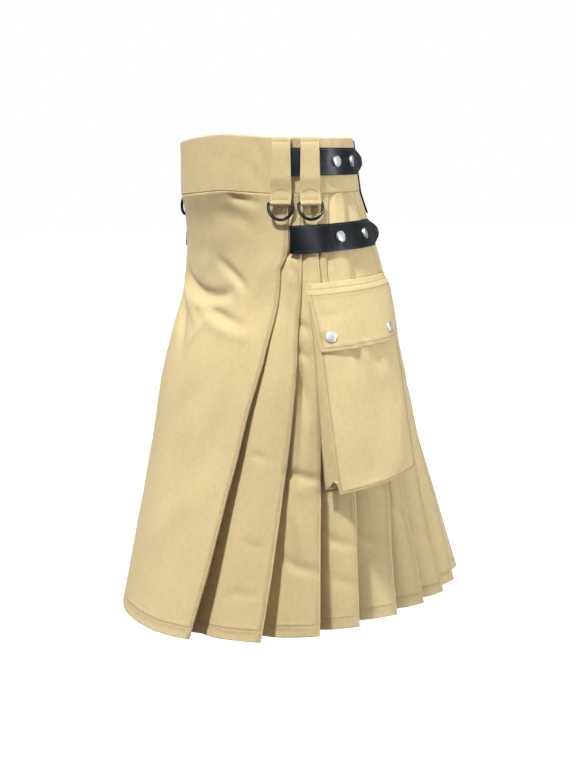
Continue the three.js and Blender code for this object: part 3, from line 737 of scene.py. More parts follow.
class Sewing:
    """Lines of stitches, each a small raised dash that dips into the cloth at both ends."""

    def __init__(self):
        self.points, self.faces = [], []

    def line(self, path, ups, length=1.45, gap=1.45, width=0.7, height=0.26):
        path, ups = np.asarray(path, float), np.asarray(ups, float)
        steps = np.linalg.norm(np.diff(path, axis=0), axis=1)
        along = np.concatenate([[0], np.cumsum(steps)])
        if along[-1] < length:
            return
        starts = np.arange(0.4, along[-1] - length, length + gap)
        for k, start in enumerate(starts):
            wobble = 0.12 * math.sin(k * 2.4)
            places = start + wobble + length * np.array([0.0, 0.22, 0.78, 1.0])
            p, n = (np.stack([np.interp(places, along, rows[:, j]) for j in range(3)], axis=-1)
                    for rows in (path, ups))
            n = unit(n)
            side = unit(np.cross(n, p[-1] - p[0]))
            half = width / 2 * np.array([0.5, 1.0, 1.0, 0.5])[:, None]
            high = height * np.array([-0.3, 1.0, 1.0, -0.3])[:, None]
            low = p - n * 0.12
            ring = np.stack([low - side * half, p + n * high, low + side * half], axis=1)
            base = len(self.points) * 12
            self.points.append(ring.reshape(-1, 3))
            for a in range(base, base + 9, 3):
                self.faces += [(a + j, a + i, a + 3 + i, a + 3 + j)
                               for j, i in ((0, 1), (1, 2), (2, 0))]
            self.faces += [(base + 2, base + 1, base), (base + 9, base + 10, base + 11)]

    def sew(self, name, material, slot):
        declare(new_object(name, np.concatenate(self.points), self.faces, material), slot)


def surface_ups(outer, inner):
    """Unit normals of a shell's outer grid, away from its inner one."""
    ups = unit(np.cross(np.gradient(outer, axis=1), np.gradient(outer, axis=0)))
    return ups * np.sign((ups * (outer - inner)).sum(-1).mean())


tan_sewing, black_sewing = Sewing(), Sewing()


def sew_pocket(side, line, top):
    """Stitches along (across, drop) points of a pocket piece; `top` gives its outer lift."""
    spots = []
    for (a0, d0), (a1, d1) in zip(line, line[1:]):
        count = max(2, int(math.hypot((a1 - a0) * POCKET_WIDE, d1 - d0) / 2))
        spots += [(a0 + (a1 - a0) * k / count, d0 + (d1 - d0) * k / count) for k in range(count)]
    across, drop = np.array(spots + [line[-1]]).T
    lift = top(across, drop)
    path = pocket_point(side, across, drop, lift)
    tan_sewing.line(path, pocket_point(side, across, drop, lift + 1) - path)


def sew_loop(at, front):
    """Rows of stitches over a belt loop's front: across it, and a low arch above the ring."""
    stands, levels = front[np.argsort(front[:, 1])].T
    width = LOOP_HALF - 2.2
    s = np.linspace(-width, width, 16)
    for drop, arch in ((5.0, 0.0), (62.0, 4.5), (73.0, 0.0), (74.6, 0.0)):
        z = at.level(drop) - arch * (s / width) ** 2
        n = np.interp(z, levels, stands) + 0.85
        tan_sewing.line(at.point(s, n, z), np.repeat(at.away[None], len(s), axis=0), 1.3, 0.9)


# Bellows pockets: `across` runs 0 to 1 from a pocket's front edge to its rear edge.

FLAP_TOP, FLAP_BOTTOM, FLAP_WALL = 173.8, 256.0, 1.8
MOUTH, BOTTOM, BOTTOM_RISE, TILT = 186.0, 428.4, 4.5, 2.6
BACK_LIFT, POCKET_WALL, GUSSET_WALL, GUSSET_ROUND, GUSSET_TOP = 0.8, 1.2, 1.1, 4, 192
POCKET_EDGES = np.array([(173.8, 66.5, 132), (256, 76, 124), (428.4, 83, 119.8)], float)
POCKET_WIDE, MOUTH_LIFT = 138.0, 3.4
# How far, in degrees, the pocket's back reaches in front of its face: drop, reach.
SPLAY = ((192, 0.0), (257, 2.6), (420, 3.4))
FACE_STITCH, FLAP_STITCH, FLAP_ROWS, FLAP_PAST = 2.8, 4.5, (7.0, 14.0), 0.006
POCKET_ENDS = (0.0, 0.004, 0.012, 0.022, 0.034, 0.05)
FLAP_DOWN = (0, 0.005, 0.015, 0.03, 0.045, 0.055, 0.07, 0.085, 0.1, 0.115, 0.13, 0.145,
             *np.linspace(0.17, 0.92, 22), 0.935, 0.95, 0.965, 0.98, 0.99, 0.996, 1.0)
# Soft creases in a pocket's face: from and to (across, drop), half width in mm, and depth.
FACE_CREASES = [
    ((0.34, 258), (0.46, 300), 6, -2.6), ((0.42, 256), (0.56, 290), 5, 1.6),
    ((0.66, 262), (0.36, 350), 13, -3.2), ((0.62, 318), (0.36, 424), 16, -3.0),
    ((0.24, 300), (0.16, 390), 12, 2.0), ((0.80, 268), (0.84, 340), 9, -1.6),
    ((0.86, 350), (0.70, 420), 12, 1.6),
]
FLAP_CREASES = [
    ((0.12, 214), (0.42, 212), 7, -1.4), ((0.30, 256), (0.36, 230), 3.4, -1.7),
    ((0.38, 256), (0.43, 234), 3.0, 1.5), ((0.46, 256), (0.49, 236), 3.2, -1.6),
    ((0.54, 256), (0.56, 240), 3.2, 1.3), ((0.62, 256), (0.63, 240), 3.4, -1.3),
    ((0.50, 190), (0.62, 214), 9, -1.2),
]


def pocket_angle(across, drop):
    """The angle of a place on the pocket, which narrows towards its bottom."""
    front, rear = (np.interp(drop, POCKET_EDGES[:, 0], POCKET_EDGES[:, k]) for k in (1, 2))
    return front + (rear - front) * across


def pocket_point(side, across, drop, lift):
    """A point of the pocket, which hangs a little lower in front."""
    return on(side, pocket_angle(across, drop), drop + TILT * (1 - across), lift)


def splay(drop):
    """The reach of the pocket's back in front of its face, as a share of the pocket's width."""
    reach_out = np.interp(drop, [row[0] for row in SPLAY], [row[1] for row in SPLAY])
    return reach_out / (pocket_angle(1.0, drop) - pocket_angle(0.0, drop))


def pocket_lift(across, drop):
    """How far the pocket's face stands off: little at its mouth, more towards its bottom."""
    down = np.maximum(0.0, (drop - MOUTH) / (BOTTOM - MOUTH))
    swell = 3.5 * np.sin(np.pi * across) * np.sin(0.8 * np.pi * np.minimum(1, down))
    return MOUTH_LIFT + (24 - 10 * across - MOUTH_LIFT) * down**0.9 + swell


def pocket_bottom(across):
    """The drop of the pocket's lower edge."""
    return BOTTOM - BOTTOM_RISE * across**2


def flap_wave(across, drop):
    """Two low waves along the flap's lower edge, held down by its snaps."""
    return 0.9 * (1 - np.cos(across * 4 * np.pi)) * np.maximum(0, (drop - 200) / 56)


def flap_lift(across, drop):
    """Lift of the flap's inner side: down at its sewn edge, then over the face in soft waves."""
    over = pocket_lift(np.clip(across, 0, 1), drop) + POCKET_WALL + 0.6
    return BACK_LIFT + (over + flap_wave(across, drop) - BACK_LIFT) * smooth((drop - 176) / 12)


def dents(creases, across, drop):
    """Depth of soft creases laid over a pocket piece."""
    total = np.zeros(across.shape)
    for (a0, d0), (a1, d1), width, depth in creases:
        t, away = from_line(across * POCKET_WIDE, drop, a0 * POCKET_WIDE, d0, a1 * POCKET_WIDE, d1)
        total += depth * bell(away, width) * (1 - 0.75 * t)
    return total


def spread(ends, count):
    """Even places from 0 to 1 with a few closer ones at both ends."""
    ends = np.array(ends)
    return np.concatenate([ends, np.linspace(ends[-1], 1 - ends[-1], count)[1:-1], 1 - ends[::-1]])


def pocket_sheet(part, side, tag, across, drop, lift, rim, stitch_in):
    """A pocket piece on the wrap's form; `rim` is the distance in mm from its stitched outline."""
    thin = np.clip(rim / 1.0 + 0.4, 0.4, 1.0)
    middle = lift + POCKET_WALL / 2 - 0.15 * bell(rim - stitch_in, 1.2)
    outer = pocket_point(side, across, drop, middle + POCKET_WALL / 2 * thin)
    inner = pocket_point(side, across, drop, middle - POCKET_WALL / 2 * thin)
    made = shell(f"pocket_{part}_cloth_{tag}", outer, inner, rim - stitch_in + EDGE_STITCH,
                 across * POCKET_WIDE, drop)
    declare_cloth(made, f"pocket_{part}_{tag}", outer, "laid", "pleats_" + tag)


def panel_grid(columns, rows):
    """A pocket panel's grid of (across, drop), and each point's distance in mm from its outline."""
    across, down = np.meshgrid(columns, rows)
    drop = MOUTH + (pocket_bottom(across) - MOUTH) * down
    rim = np.minimum(np.minimum(across, 1 - across) * POCKET_WIDE, pocket_bottom(across) - drop)
    return across, drop, rim


def pocket_back(side, tag, columns, rows):
    """The back, sewn to the pleats and reaching a little in front of the face."""
    across, drop, rim = panel_grid(0.004 + columns * 0.992, rows)
    lift = np.full(across.shape, BACK_LIFT)
    pocket_sheet("back", side, tag, across - splay(drop) * (1 - across), drop, lift, rim, 3.0)


def pocket_face(side, tag, columns, rows):
    """The face, standing off on its gusset."""
    across, drop, rim = panel_grid(columns, rows)
    inside = smooth((rim - 3) / 16)
    lift = pocket_lift(across, drop) + dents(FACE_CREASES, across, drop) * inside
    lift += 0.3 * inside * (np.sin(across * 9 + drop / 31) + np.sin(drop / 17 - across * 5))
    pocket_sheet("face", side, tag, across, drop, lift, rim, FACE_STITCH)


def pocket_flap(side, tag, columns):
    """The flap, sewn down above the mouth with two rows of stitches."""
    across, down = np.meshgrid((1 + 2 * FLAP_PAST) * columns - FLAP_PAST, FLAP_DOWN)
    drop = FLAP_TOP + (FLAP_BOTTOM - FLAP_TOP) * down
    lift = flap_lift(across, drop)
    lift += dents(FLAP_CREASES, across, drop) * smooth((drop - MOUTH) / 14)
    beside = np.minimum(across + FLAP_PAST, 1 + FLAP_PAST - across) * POCKET_WIDE
    rim = np.minimum(beside, FLAP_BOTTOM - drop)
    rows = np.minimum(*(np.abs(drop - FLAP_TOP - row) for row in FLAP_ROWS))
    seam = np.minimum(np.abs(rim - FLAP_STITCH), rows)
    thin = np.clip(np.minimum(rim, drop - FLAP_TOP) / 1.2 + 0.35, 0.35, 1.0)
    middle = lift - 0.12 * bell(rows, 1.1) + FLAP_WALL / 2 - 0.15 * bell(seam, 1.2)
    outer, centre, inner = (pocket_point(side, across, drop, middle + FLAP_WALL / 2 * thin * way)
                            for way in (1, 0, -1))
    made = shell("pocket_flap_cloth_" + tag, outer, inner, seam + EDGE_STITCH,
                 across * POCKET_WIDE, drop)
    declare_cloth(made, "pocket_flap_" + tag, centre, "laid", "pocket_face_" + tag)


def pocket_gusset(side, tag):
    """The pocket's side strip, round both sides and the bottom, with one fold pushed inwards."""
    turns = [(math.sin(t), math.cos(t)) for t in np.linspace(0, math.pi / 2, 7)[1:-1]]
    corner = GUSSET_ROUND / POCKET_WIDE
    front, rear = BOTTOM - GUSSET_ROUND, float(pocket_bottom(1.0)) - GUSSET_ROUND
    # Stations round the pocket: across, drop, and the way inwards from there.
    table = [(0.0, d, 1.0, 0.0) for d in np.linspace(GUSSET_TOP, front, 46)]
    table += [(corner * (1 - c), front + GUSSET_ROUND * s, c, -s) for s, c in turns]
    table += [(a, float(pocket_bottom(a)), 0.0, -1.0) for a in np.linspace(corner, 1 - corner, 26)]
    table += [(1 - corner * (1 - s), rear + GUSSET_ROUND * c, -s, -c) for s, c in turns]
    table += [(1.0, d, -1.0, 0.0) for d in np.linspace(rear, GUSSET_TOP, 46)]
    table = np.array(table)
    across, drop, inx, iny = (np.repeat(column[:, None], 13, axis=1) for column in table.T)
    t = np.repeat(np.linspace(0, 1, 13)[None], len(table), axis=0)
    top = pocket_lift(across, drop) - SEAM_GAP
    base = BACK_LIFT + POCKET_WALL + SEAM_GAP
    pinch = 0.62 * (top - base) * (1 - np.abs(2 * t - 1) ** 1.2)
    pinch += 0.5 * np.sin(drop / 13 + across * 20) * np.sin(np.pi * t)
    pinch = np.maximum(pinch, 0.0)
    lift = base + (top - base) * t

    def layer(inset):
        a, d = across + inx * inset / POCKET_WIDE, drop + iny * inset
        return pocket_point(side, a - splay(drop) * (1 - t) * (1 - across) ** 3, d, lift)

    rim = np.minimum(t, 1 - t) * (top - base)
    along = np.repeat(5.0 * np.arange(1, len(table) + 1)[:, None], 13, axis=1)
    made = shell("pocket_gusset_cloth_" + tag, layer(pinch), layer(pinch + GUSSET_WALL),
                 rim + EDGE_STITCH, along, lift)
    declare_cloth(made, "pocket_gusset_" + tag, layer(pinch), "folded", "pocket_back_" + tag)


def pocket(side, tag):
    """A bellows pocket with its flap, gusset and stitches."""
    columns = spread(POCKET_ENDS, 26)
    rows = spread((0.0, 0.003, 0.01, 0.02, 0.035), 36)
    pocket_back(side, tag, columns, rows)
    pocket_face(side, tag, columns, rows)
    pocket_flap(side, tag, columns)
    pocket_gusset(side, tag)
    over_face = (lambda a, d: pocket_lift(np.clip(a, 0, 1), d) + POCKET_WALL + 0.05)
    over_flap = (lambda a, d: flap_lift(a, d) + FLAP_WALL - 0.15)
    inset = FACE_STITCH / POCKET_WIDE
    sew_pocket(side, [(inset, 250), (inset, 425.4), (0.5, 424.6), (1 - inset, 421),
                      (1 - inset, 250)], over_face)
    inset = FLAP_STITCH / POCKET_WIDE
    top, bottom = FLAP_TOP + FLAP_ROWS[1], FLAP_BOTTOM - FLAP_STITCH
    sew_pocket(side, [(inset, top), (inset, bottom), (1 - inset, bottom), (1 - inset, top)],
               over_flap)
    for row in FLAP_ROWS:
        sew_pocket(side, [(0.012, FLAP_TOP + row), (0.988, FLAP_TOP + row)], over_flap)


HANDS = ((1, "left"), (-1, "right"))
for hand, tag in HANDS:
    pocket(hand, tag)

# Belt loops with D-rings

LOOP_HALF, LOOP_WALL, LOOP_ROLL, BAR_DROP, LOOP_REACH = 12.5, 2.4, 3.3, 79.0, 49.6
LOOPS = (("front", 61.5), ("rear", 79.0))
# Drops of a loop's points, and shares of its half width across it.
LOOP_DROPS = np.array([0.6, 2, 3.4, 5, 7.2, 10, 14, 19, 24, 30, 36, 42, 46, LOOP_REACH, 51,
                       LOOP_REACH + 3.4, 56, 59, 62, 66, 69])
LOOP_ACROSS = np.array([-1, -0.985, -0.95, -0.88, -0.78, -0.62, -0.4, -0.15,
                        0.15, 0.4, 0.62, 0.78, 0.88, 0.95, 0.985, 1])
RING_WIRE, RING_HALF, RING_SIDE, RING_CORNER, RING_TURN = 1.95, 14.9, 5.0, 1.9, -90
STRAP_WALL, STRAP_LIFT = 2.5, 0.3


def over_step(side, angle, drop):
    """How far a piece stands off to pass over the apron's free edge, which is on the right."""
    angle = np.asarray(angle, float)
    if side > 0:
        return np.zeros(angle.shape)
    return wound(-angle, drop) * (1 - smooth((angle + free_edge(drop) - 2) / 16))


class Frame:
    """A plane frame on the band: `along` is level, `away` is level and outwards."""

    # The frame's own drop, the height of the top edge, and the fall of the envelope, about.
    DROP, TOP, FALL = 35.0, 33, 598

    def __init__(self, side, angle):
        self.side, self.angle = side, angle
        self.origin = on(side, angle, self.DROP)
        along = on(side, angle + 0.5, self.DROP) - on(side, angle - 0.5, self.DROP)
        along[2] = 0
        self.along = along / np.linalg.norm(along)
        away = np.array([self.along[1], -self.along[0], 0.0])
        self.away = away if away @ self.origin > 0 else -away

    def level(self, drop):
        """The height of a drop that is measured straight down from the band's top edge."""
        return self.origin[2] + self.DROP - drop

    def point(self, s, n, z):
        base = np.array([self.origin[0], self.origin[1], 0.0])
        s, n, z = np.broadcast_arrays(np.asarray(s, float), n, z)
        return base + s[..., None] * self.along + n[..., None] * self.away + z[..., None] * UPWARDS

    def surface(self, z):
        """How far the envelope stands out at a level, at its highest across a loop's width."""
        most = -1e9
        for s in (-LOOP_HALF, 0, LOOP_HALF):
            a, d = self.angle, self.TOP - z
            for _ in range(8):
                p = on(self.side, a, d)
                a += (s - (p - self.origin) @ self.along) / float(degree(self.side * a, d))
                d += (p[2] - z) * LENGTH / self.FALL
            most = max(most, (on(self.side, a, d) - self.origin) @ self.away)
        return most


UPWARDS = np.array([0, 0, 1.0])


def belt_loop(side, tag, where, angle):
    """A folded strip, sewn to the band behind and before the strap, rolled round a ring's bar."""
    at = Frame(side, angle)
    raised = STRAP_LIFT + STRAP_WALL + SEAM_GAP + float(over_step(side, angle - 7, 28))
    bar_z = at.level(BAR_DROP)
    bar_n = at.surface(bar_z) + SEAM_GAP + LOOP_ROLL
    high = np.interp(LOOP_DROPS, [0.6, 4, 8.6, LOOP_REACH - 0.4, 61, 69], [0, 0, 1, 1, 0.2, 0])
    back = np.array([at.surface(at.level(d)) + SEAM_GAP for d in LOOP_DROPS]) + high * raised
    for _ in range(2):
        back[1:-1] = np.maximum(back[1:-1], 0.25 * back[:-2] + 0.5 * back[1:-1] + 0.25 * back[2:])
    # The strip's middle in side view: down behind, round the bar, and up in front.
    ply = (LOOP_WALL - 0.1) / 2
    path = [(n + ply / 2, at.level(d)) for n, d in zip(back, LOOP_DROPS)]
    middle = 0.5 * (1.85 + LOOP_ROLL)
    path += [(bar_n + middle * math.cos(turn), bar_z + middle * math.sin(turn))
             for turn in np.radians(np.linspace(155, 372, 16))]
    first = len(LOOP_DROPS) + 14
    path += [(n + ply * 1.5 + 0.1, at.level(d)) for n, d in zip(back, LOOP_DROPS)][::-1]
    path = np.array(path)
    tangent = np.gradient(path, axis=0)
    tangent /= np.linalg.norm(tangent, axis=1, keepdims=True)
    normal = np.stack([-tangent[:, 1], tangent[:, 0]], axis=-1)
    across = LOOP_HALF * LOOP_ACROSS
    half = ply / 2 * np.clip(LOOP_HALF - np.abs(across) + 0.35, 0.35, 1)
    down = at.level(0) - path[:, 1]
    tacks = np.minimum(np.abs(down - 5), np.abs(down - 70.5))
    ahead = np.arange(len(path)) > first
    s = across[None] * (0.9 + 0.13 * smooth(down / 75))[:, None]
    slack = np.where(ahead, 0.45 * np.sin((down - 8) / 7.0) * (np.abs(down - 28) < 30), 0.0)
    sides = []
    for way in (1, -1):
        reach_out = np.broadcast_to(way * half, s.shape)
        n = path[:, 0][:, None] + normal[:, 0][:, None] * reach_out
        z = path[:, 1][:, None] + normal[:, 1][:, None] * reach_out
        n = n + (slack[:, None] * (s / LOOP_HALF) ** 2 + slack[:, None] * 0.3) * ahead[:, None]
        n = n - 0.3 * bell(tacks, 1.3)[:, None] * ahead[:, None]
        sides.append(at.point(s, n, z))
    seam, along = (np.repeat(column[:, None], len(across), axis=1)
                   for column in (tacks + EDGE_STITCH, lengths(path[None])[0]))
    made = shell(f"loop_{where}_cloth_{tag}", *sides, seam, s, along)
    declare_cloth(made, f"loop_{where}_{tag}", 0.5 * (sides[0] + sides[1]), "folded", "waistband")
    sew_loop(at, path[first:])
    return at, bar_n, bar_z


def deselect():
    """Leaves edit mode with nothing selected."""
    if bpy.context.object and bpy.context.object.mode != "OBJECT":
        bpy.ops.object.mode_set(mode="OBJECT")
    bpy.ops.object.select_all(action="DESELECT")


def settle(made, name, material, slot, node, body="kilt"):
    """Names a finished piece, gives it its finish and sets it on its body."""
    made.name = made.data.name = name
    made.data.materials.clear()
    made.data.materials.append(material)
    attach(made, body)
    declare(made, slot, node)


def edit(made, how):
    """Selects all of a mesh in edit mode, runs `how` and leaves edit mode."""
    bpy.context.view_layer.objects.active = made
    made.select_set(True)
    bpy.ops.object.mode_set(mode="EDIT")
    bpy.ops.mesh.select_all(action="SELECT")
    how()
    bpy.ops.object.mode_set(mode="OBJECT")


def turn_out(made):
    """Turns a closed mesh's faces outwards."""
    deselect()
    edit(made, lambda: bpy.ops.mesh.normals_make_consistent(inside=False))


def bevel(made, width, segments, angle):
    """Rolls the sharp edges of a piece; `width` is in mm."""
    edge = made.modifiers.new("edge", "BEVEL")
    edge.width, edge.segments = width * MM, segments
    edge.limit_method, edge.angle_limit = "ANGLE", math.radians(angle)
    bpy.ops.object.modifier_apply(modifier="edge")


def moved_copy(master, places):
    """A copy of a master with its own mesh, laid where `places` puts its points (in mm)."""
    mesh = master.data.copy()
    flat = np.empty(len(mesh.vertices) * 3, np.float32)
    mesh.vertices.foreach_get("co", flat)
    laid = places(flat.reshape(-1, 3) / MM) * MM
    mesh.vertices.foreach_set("co", laid.astype(np.float32).ravel())
    mesh.update()
    made = bpy.data.objects.new("copy", mesh)
    bpy.context.scene.collection.objects.link(made)
    return made


def bent_wire():
    """A D bent from round wire: x runs along the bar, y away from it."""
    deselect()
    bpy.ops.mesh.primitive_circle_add(vertices=14, radius=RING_WIRE * MM, location=(0, 0, 0),
                                      rotation=(0, math.pi / 2, 0))
    made = bpy.context.active_object
    bpy.ops.object.transform_apply(location=True, rotation=True, scale=True)

    def straight(x, y):
        bpy.ops.mesh.extrude_region_move(TRANSFORM_OT_translate={"value": (x * MM, y * MM, 0)})

    def bend(x, y, degrees, steps):
        bpy.ops.mesh.spin(steps=steps, angle=math.radians(degrees), center=(x * MM, y * MM, 0),
                          axis=(0, 0, 1))

    def shape():
        h, c = RING_HALF, RING_CORNER
        straight(h - c, 0)
        bend(h - c, c, RING_TURN, 6)
        straight(0, RING_SIDE - c)
        bend(0, RING_SIDE, 2 * RING_TURN, 40)
        straight(0, c - RING_SIDE)
        bend(c - h, c, RING_TURN, 6)
        straight(h - c, 0)
        bpy.ops.mesh.select_all(action="SELECT")
        bpy.ops.mesh.remove_doubles(threshold=0.02 * MM)
        bpy.ops.mesh.normals_make_consistent(inside=False)

    edit(made, shape)
    bpy.ops.object.shade_smooth()
    return made


def hang_ring(master, tag, where, at, bar_n, bar_z):
    """Hangs a D by its bar, leaning along the slope of the cloth below."""
    drop = RING_SIDE + RING_HALF
    lean = math.atan(max(0.0, (at.surface(bar_z - drop) - at.surface(bar_z)) / drop))
    sine, cosine = math.sin(lean), math.cos(lean)
    out = at.away * cosine + UPWARDS * sine

    def places(p):
        return at.point(p[:, 0], bar_n + p[:, 1] * sine, bar_z - p[:, 1] * cosine) + p[:, 2:3] * out

    made = moved_copy(master, places)
    if np.dot(np.cross(at.along, at.away * sine - UPWARDS * cosine), out) < 0:
        made.data.flip_normals()
    settle(made, f"ring_{where}_wire_{tag}", wire, "black_wire", f"ring_{where}_{tag}",
           f"d_ring_{where}_{tag}")


ring_master = bent_wire()
for hand, tag in HANDS:
    for where, angle in LOOPS:
        hang_ring(ring_master, tag, where, *belt_loop(hand, tag, where, angle))
bpy.data.objects.remove(ring_master)

# Leather straps and back loops, cut flat and laid on the form

CAP_RADIUS, STRAP_TURN = 6.9, math.radians(13)


def leather_blank(length, width, wall, point):
    """A flat strap: x runs along it from 0, y across it, z through it. `point` is its tip."""
    deselect()
    bpy.ops.mesh.primitive_grid_add(x_subdivisions=int(length / 2.2), y_subdivisions=16, size=1,
                                    location=(0, 0, 0))
    made = bpy.context.active_object

    def shape():
        bpy.ops.transform.resize(value=(length * MM, width * MM, 1))
        bpy.ops.transform.translate(value=(length / 2 * MM, 0, 0))
        for way in (1, -1) if point else ():
            bpy.ops.mesh.select_all(action="SELECT")
            run, rise = point * MM, 0.43 * width * MM
            size = math.hypot(run, rise)
            bpy.ops.mesh.bisect(plane_co=((length - point) * MM, way * width / 2 * MM, 0),
                                plane_no=(rise / size, way * run / size, 0), clear_outer=True)

    edit(made, shape)
    solid = made.modifiers.new("thick", "SOLIDIFY")
    solid.thickness, solid.offset = wall * MM, 1
    bpy.ops.object.modifier_apply(modifier="thick")
    bevel(made, 0.7, 3, 40)
    bpy.ops.object.shade_smooth()
    return made


def lay_leather(blank, places, name, node):
    """Lays a blank on the form and takes the blank away."""
    made = moved_copy(blank, places)
    bpy.data.objects.remove(blank)
    turn_out(made)
    settle(made, name, leather, "black_leather", node)


# Straps: drop of the upper and lower edge at the tip, how much lower they are in front, and the
# tip's angle. Their point is STRAP_POINT degrees long, and their stitches lie STRAP_STITCH mm in.
STRAPS = {"upper": (12.5, 46.5, 0.0, 141.0), "lower": (103.5, 137.5, 2.8, 142.0)}
STRAP_POINT, STRAP_STITCH = 14, 2.2


def strap_front(which, side):
    """Angles of a strap's front end at its upper and lower edge."""
    if which == "upper":
        return 60.5, 60.5
    return (61.6, 58.8) if side > 0 else (55.0, 53.0)


def strap_lift(side, angle, drop, tip):
    """A strap's height over the form: it lifts a little towards its free tip."""
    raised = 5 * smooth((angle - tip + STRAP_POINT) / STRAP_POINT)
    return STRAP_LIFT + raised + over_step(side, angle, drop)


def lay_strap(which, side, tag):
    """A strap laid round the side of the kilt, with a stitch line along each edge."""
    top, bottom, sag, tip = STRAPS[which]
    width = bottom - top
    high, low = strap_front(which, side)
    per_degree = float(degree(100.0, (top + bottom) / 2))
    length = per_degree * (tip - high)

    def places(p):
        w = 0.5 - p[:, 1] / width
        start = high + (low - high) * w
        angle = start + (tip - start) * p[:, 0] / length
        drop = top + width * w + sag * (1 - p[:, 0] / length)
        edge = np.minimum(w, 1 - w) * width
        face = (0.25 * np.sin(np.pi * w) - 0.3 * bell(edge - 3.0, 0.8)) * (p[:, 2] > 1.2)
        return on(side, angle, drop, strap_lift(side, angle, drop, tip) + np.abs(p[:, 2]) + face)

    lay_leather(leather_blank(length, width, STRAP_WALL, STRAP_POINT * per_degree), places,
                f"strap_{which}_leather_{tag}", f"strap_{which}_{tag}")
    for w in (STRAP_STITCH / width, 1 - STRAP_STITCH / width):
        flat = np.stack([np.linspace(2, length - (STRAP_POINT + 1) * per_degree, 120),
                         np.full(120, (0.5 - w) * width), np.full(120, STRAP_WALL)], axis=-1)
        path = places(flat)
        black_sewing.line(path, places(flat + UPWARDS) - path, 2.6, 1.2, 0.7, 0.3)


def lay_back_loop(side, tag):
    """A leather belt loop down the back of the band."""
    top, bottom, half, middle = 3.0, 99.0, 14.0, 151.5
    per_degree = float(degree(middle, 50.0))

    def places(p):
        return on(side, middle + p[:, 1] / per_degree, top + p[:, 0], 0.6 + np.abs(p[:, 2]))

    lay_leather(leather_blank(bottom - top, 2 * half, 2.0, 0), places,
                "back_loop_leather_" + tag, "back_loop_" + tag)


def snap_cap():
    """A pressed snap cap: rolled edge, a shallow step and a faintly domed face. z is up."""
    deselect()
    bpy.ops.mesh.primitive_cylinder_add(vertices=48, radius=CAP_RADIUS * MM, depth=3.2 * MM,
                                        location=(0, 0, 0.2 * MM))
    made = bpy.context.active_object
    bpy.ops.object.transform_apply(location=True)
    bpy.ops.object.mode_set(mode="EDIT")
    bpy.ops.mesh.select_mode(type="FACE")
    bpy.ops.mesh.select_all(action="DESELECT")
    bpy.ops.object.mode_set(mode="OBJECT")
    for face in made.data.polygons:
        face.select = face.normal.z > 0.9
    bpy.ops.object.mode_set(mode="EDIT")
    for thickness, depth in ((0.3, 0.0), (0.5, -0.34), (0.35, 0.2), (2.0, 0.2), (2.3, 0.12)):
        bpy.ops.mesh.inset(thickness=thickness * MM, depth=depth * MM)
    bpy.ops.object.mode_set(mode="OBJECT")
    bevel(made, 0.55, 4, 50)
    bpy.ops.object.shade_smooth_by_angle(angle=math.radians(35))
    return made


def lay_snap(master, side, tag, which, angle, drop, lift, turn=0.0):
    """Sets a cap on the form, turned a little rearwards where the strap bends under it."""
    across = unit(on(side, angle + 1, drop, lift) - on(side, angle - 1, drop, lift))
    down = on(side, angle, drop + 3, lift) - on(side, angle, drop - 3, lift)
    up_way = unit(np.cross(down, across))
    if up_way @ (bare(side * angle, drop) * np.array([1, 1, 0])) < 0:
        up_way = -up_way
    across, up_way = (across * math.cos(turn) - up_way * math.sin(turn),
                      up_way * math.cos(turn) + across * math.sin(turn))
    third = np.cross(up_way, across)
    centre = on(side, angle, drop, lift) + up_way * 0.3
    places = (lambda p: centre + p[:, 0:1] * across + p[:, 1:2] * third + p[:, 2:3] * up_way)
    settle(moved_copy(master, places), f"snap_{which}_cap_{tag}", steel, "brushed_snap",
           f"snap_{which}_{tag}")


STRAP_SNAPS = (("upper_front", "upper", 99.0, 29.5), ("upper_rear", "upper", 116.5, 29.5),
               ("lower_front", "lower", 95.5, 122.1), ("lower_rear", "lower", 116.8, 121.3))
FLAP_SNAPS = (("flap_front", 81.0, 237.6), ("flap_rear", 116.5, 239.7))

cap_master = snap_cap()
for hand, tag in HANDS:
    for which in STRAPS:
        lay_strap(which, hand, tag)
    lay_back_loop(hand, tag)
    for spot_name, which, angle, drop in STRAP_SNAPS:
        lift = float(STRAP_WALL + 0.1 + strap_lift(hand, angle, drop, STRAPS[which][3]))
        lay_snap(cap_master, hand, tag, spot_name, angle, drop, lift, STRAP_TURN)
    for spot_name, angle, drop in FLAP_SNAPS:
        front, rear = (float(pocket_angle(k, drop)) for k in (0, 1))
        across = (angle - front) / (rear - front)
        lift = POCKET_WALL + 0.7 + FLAP_WALL
        lift += float(pocket_lift(across, drop) + flap_wave(across, drop))
        lay_snap(cap_master, hand, tag, spot_name, angle, drop + TILT * (1 - across), lift)
bpy.data.objects.remove(cap_master)

# Stitches of the skirt: along the pleats' edges, the apron's free edge and the hem


def sew_panel(name, outer, inner, near):
    """Stitches of one panel: down its edges and along its hem, where they show."""
    ups = surface_ups(outer, inner)
    hem = ROWS.index(HEM_ROW)
    at_hem = near[hem]

    def sew_down(column, rows=slice(1, -1)):
        tan_sewing.line(outer[rows, column], ups[rows, column])

    for place, column in enumerate(np.where(np.isclose(at_hem, EDGE_STITCH))[0]):
        # The second pleat on the left is stitched only below the strap.
        sew_down(column, slice(30 if name == "pleats_left" and place == 1 else 1, -1))
    if name == "over_apron":
        half_way = len(at_hem) // 2
        sew_down(half_way + int(np.argmin(np.abs(at_hem[half_way:] - 6.0))), slice(3, 20))
        sew_down(int(np.argmin(np.abs(at_hem[:6] - 6.0))))
    shown = ~np.isclose(at_hem, HIDDEN)
    if name != "under_apron":
        shown &= at_hem > 1.5
    if name.startswith("pleats"):
        shown &= at_hem < FACE_SEWN
    run = []
    for column, seen in enumerate([*shown, False]):
        if seen:
            run.append(column)
            continue
        if len(run) > 2:
            tan_sewing.line(outer[hem, run], ups[hem, run], gap=3.4)
        run = []


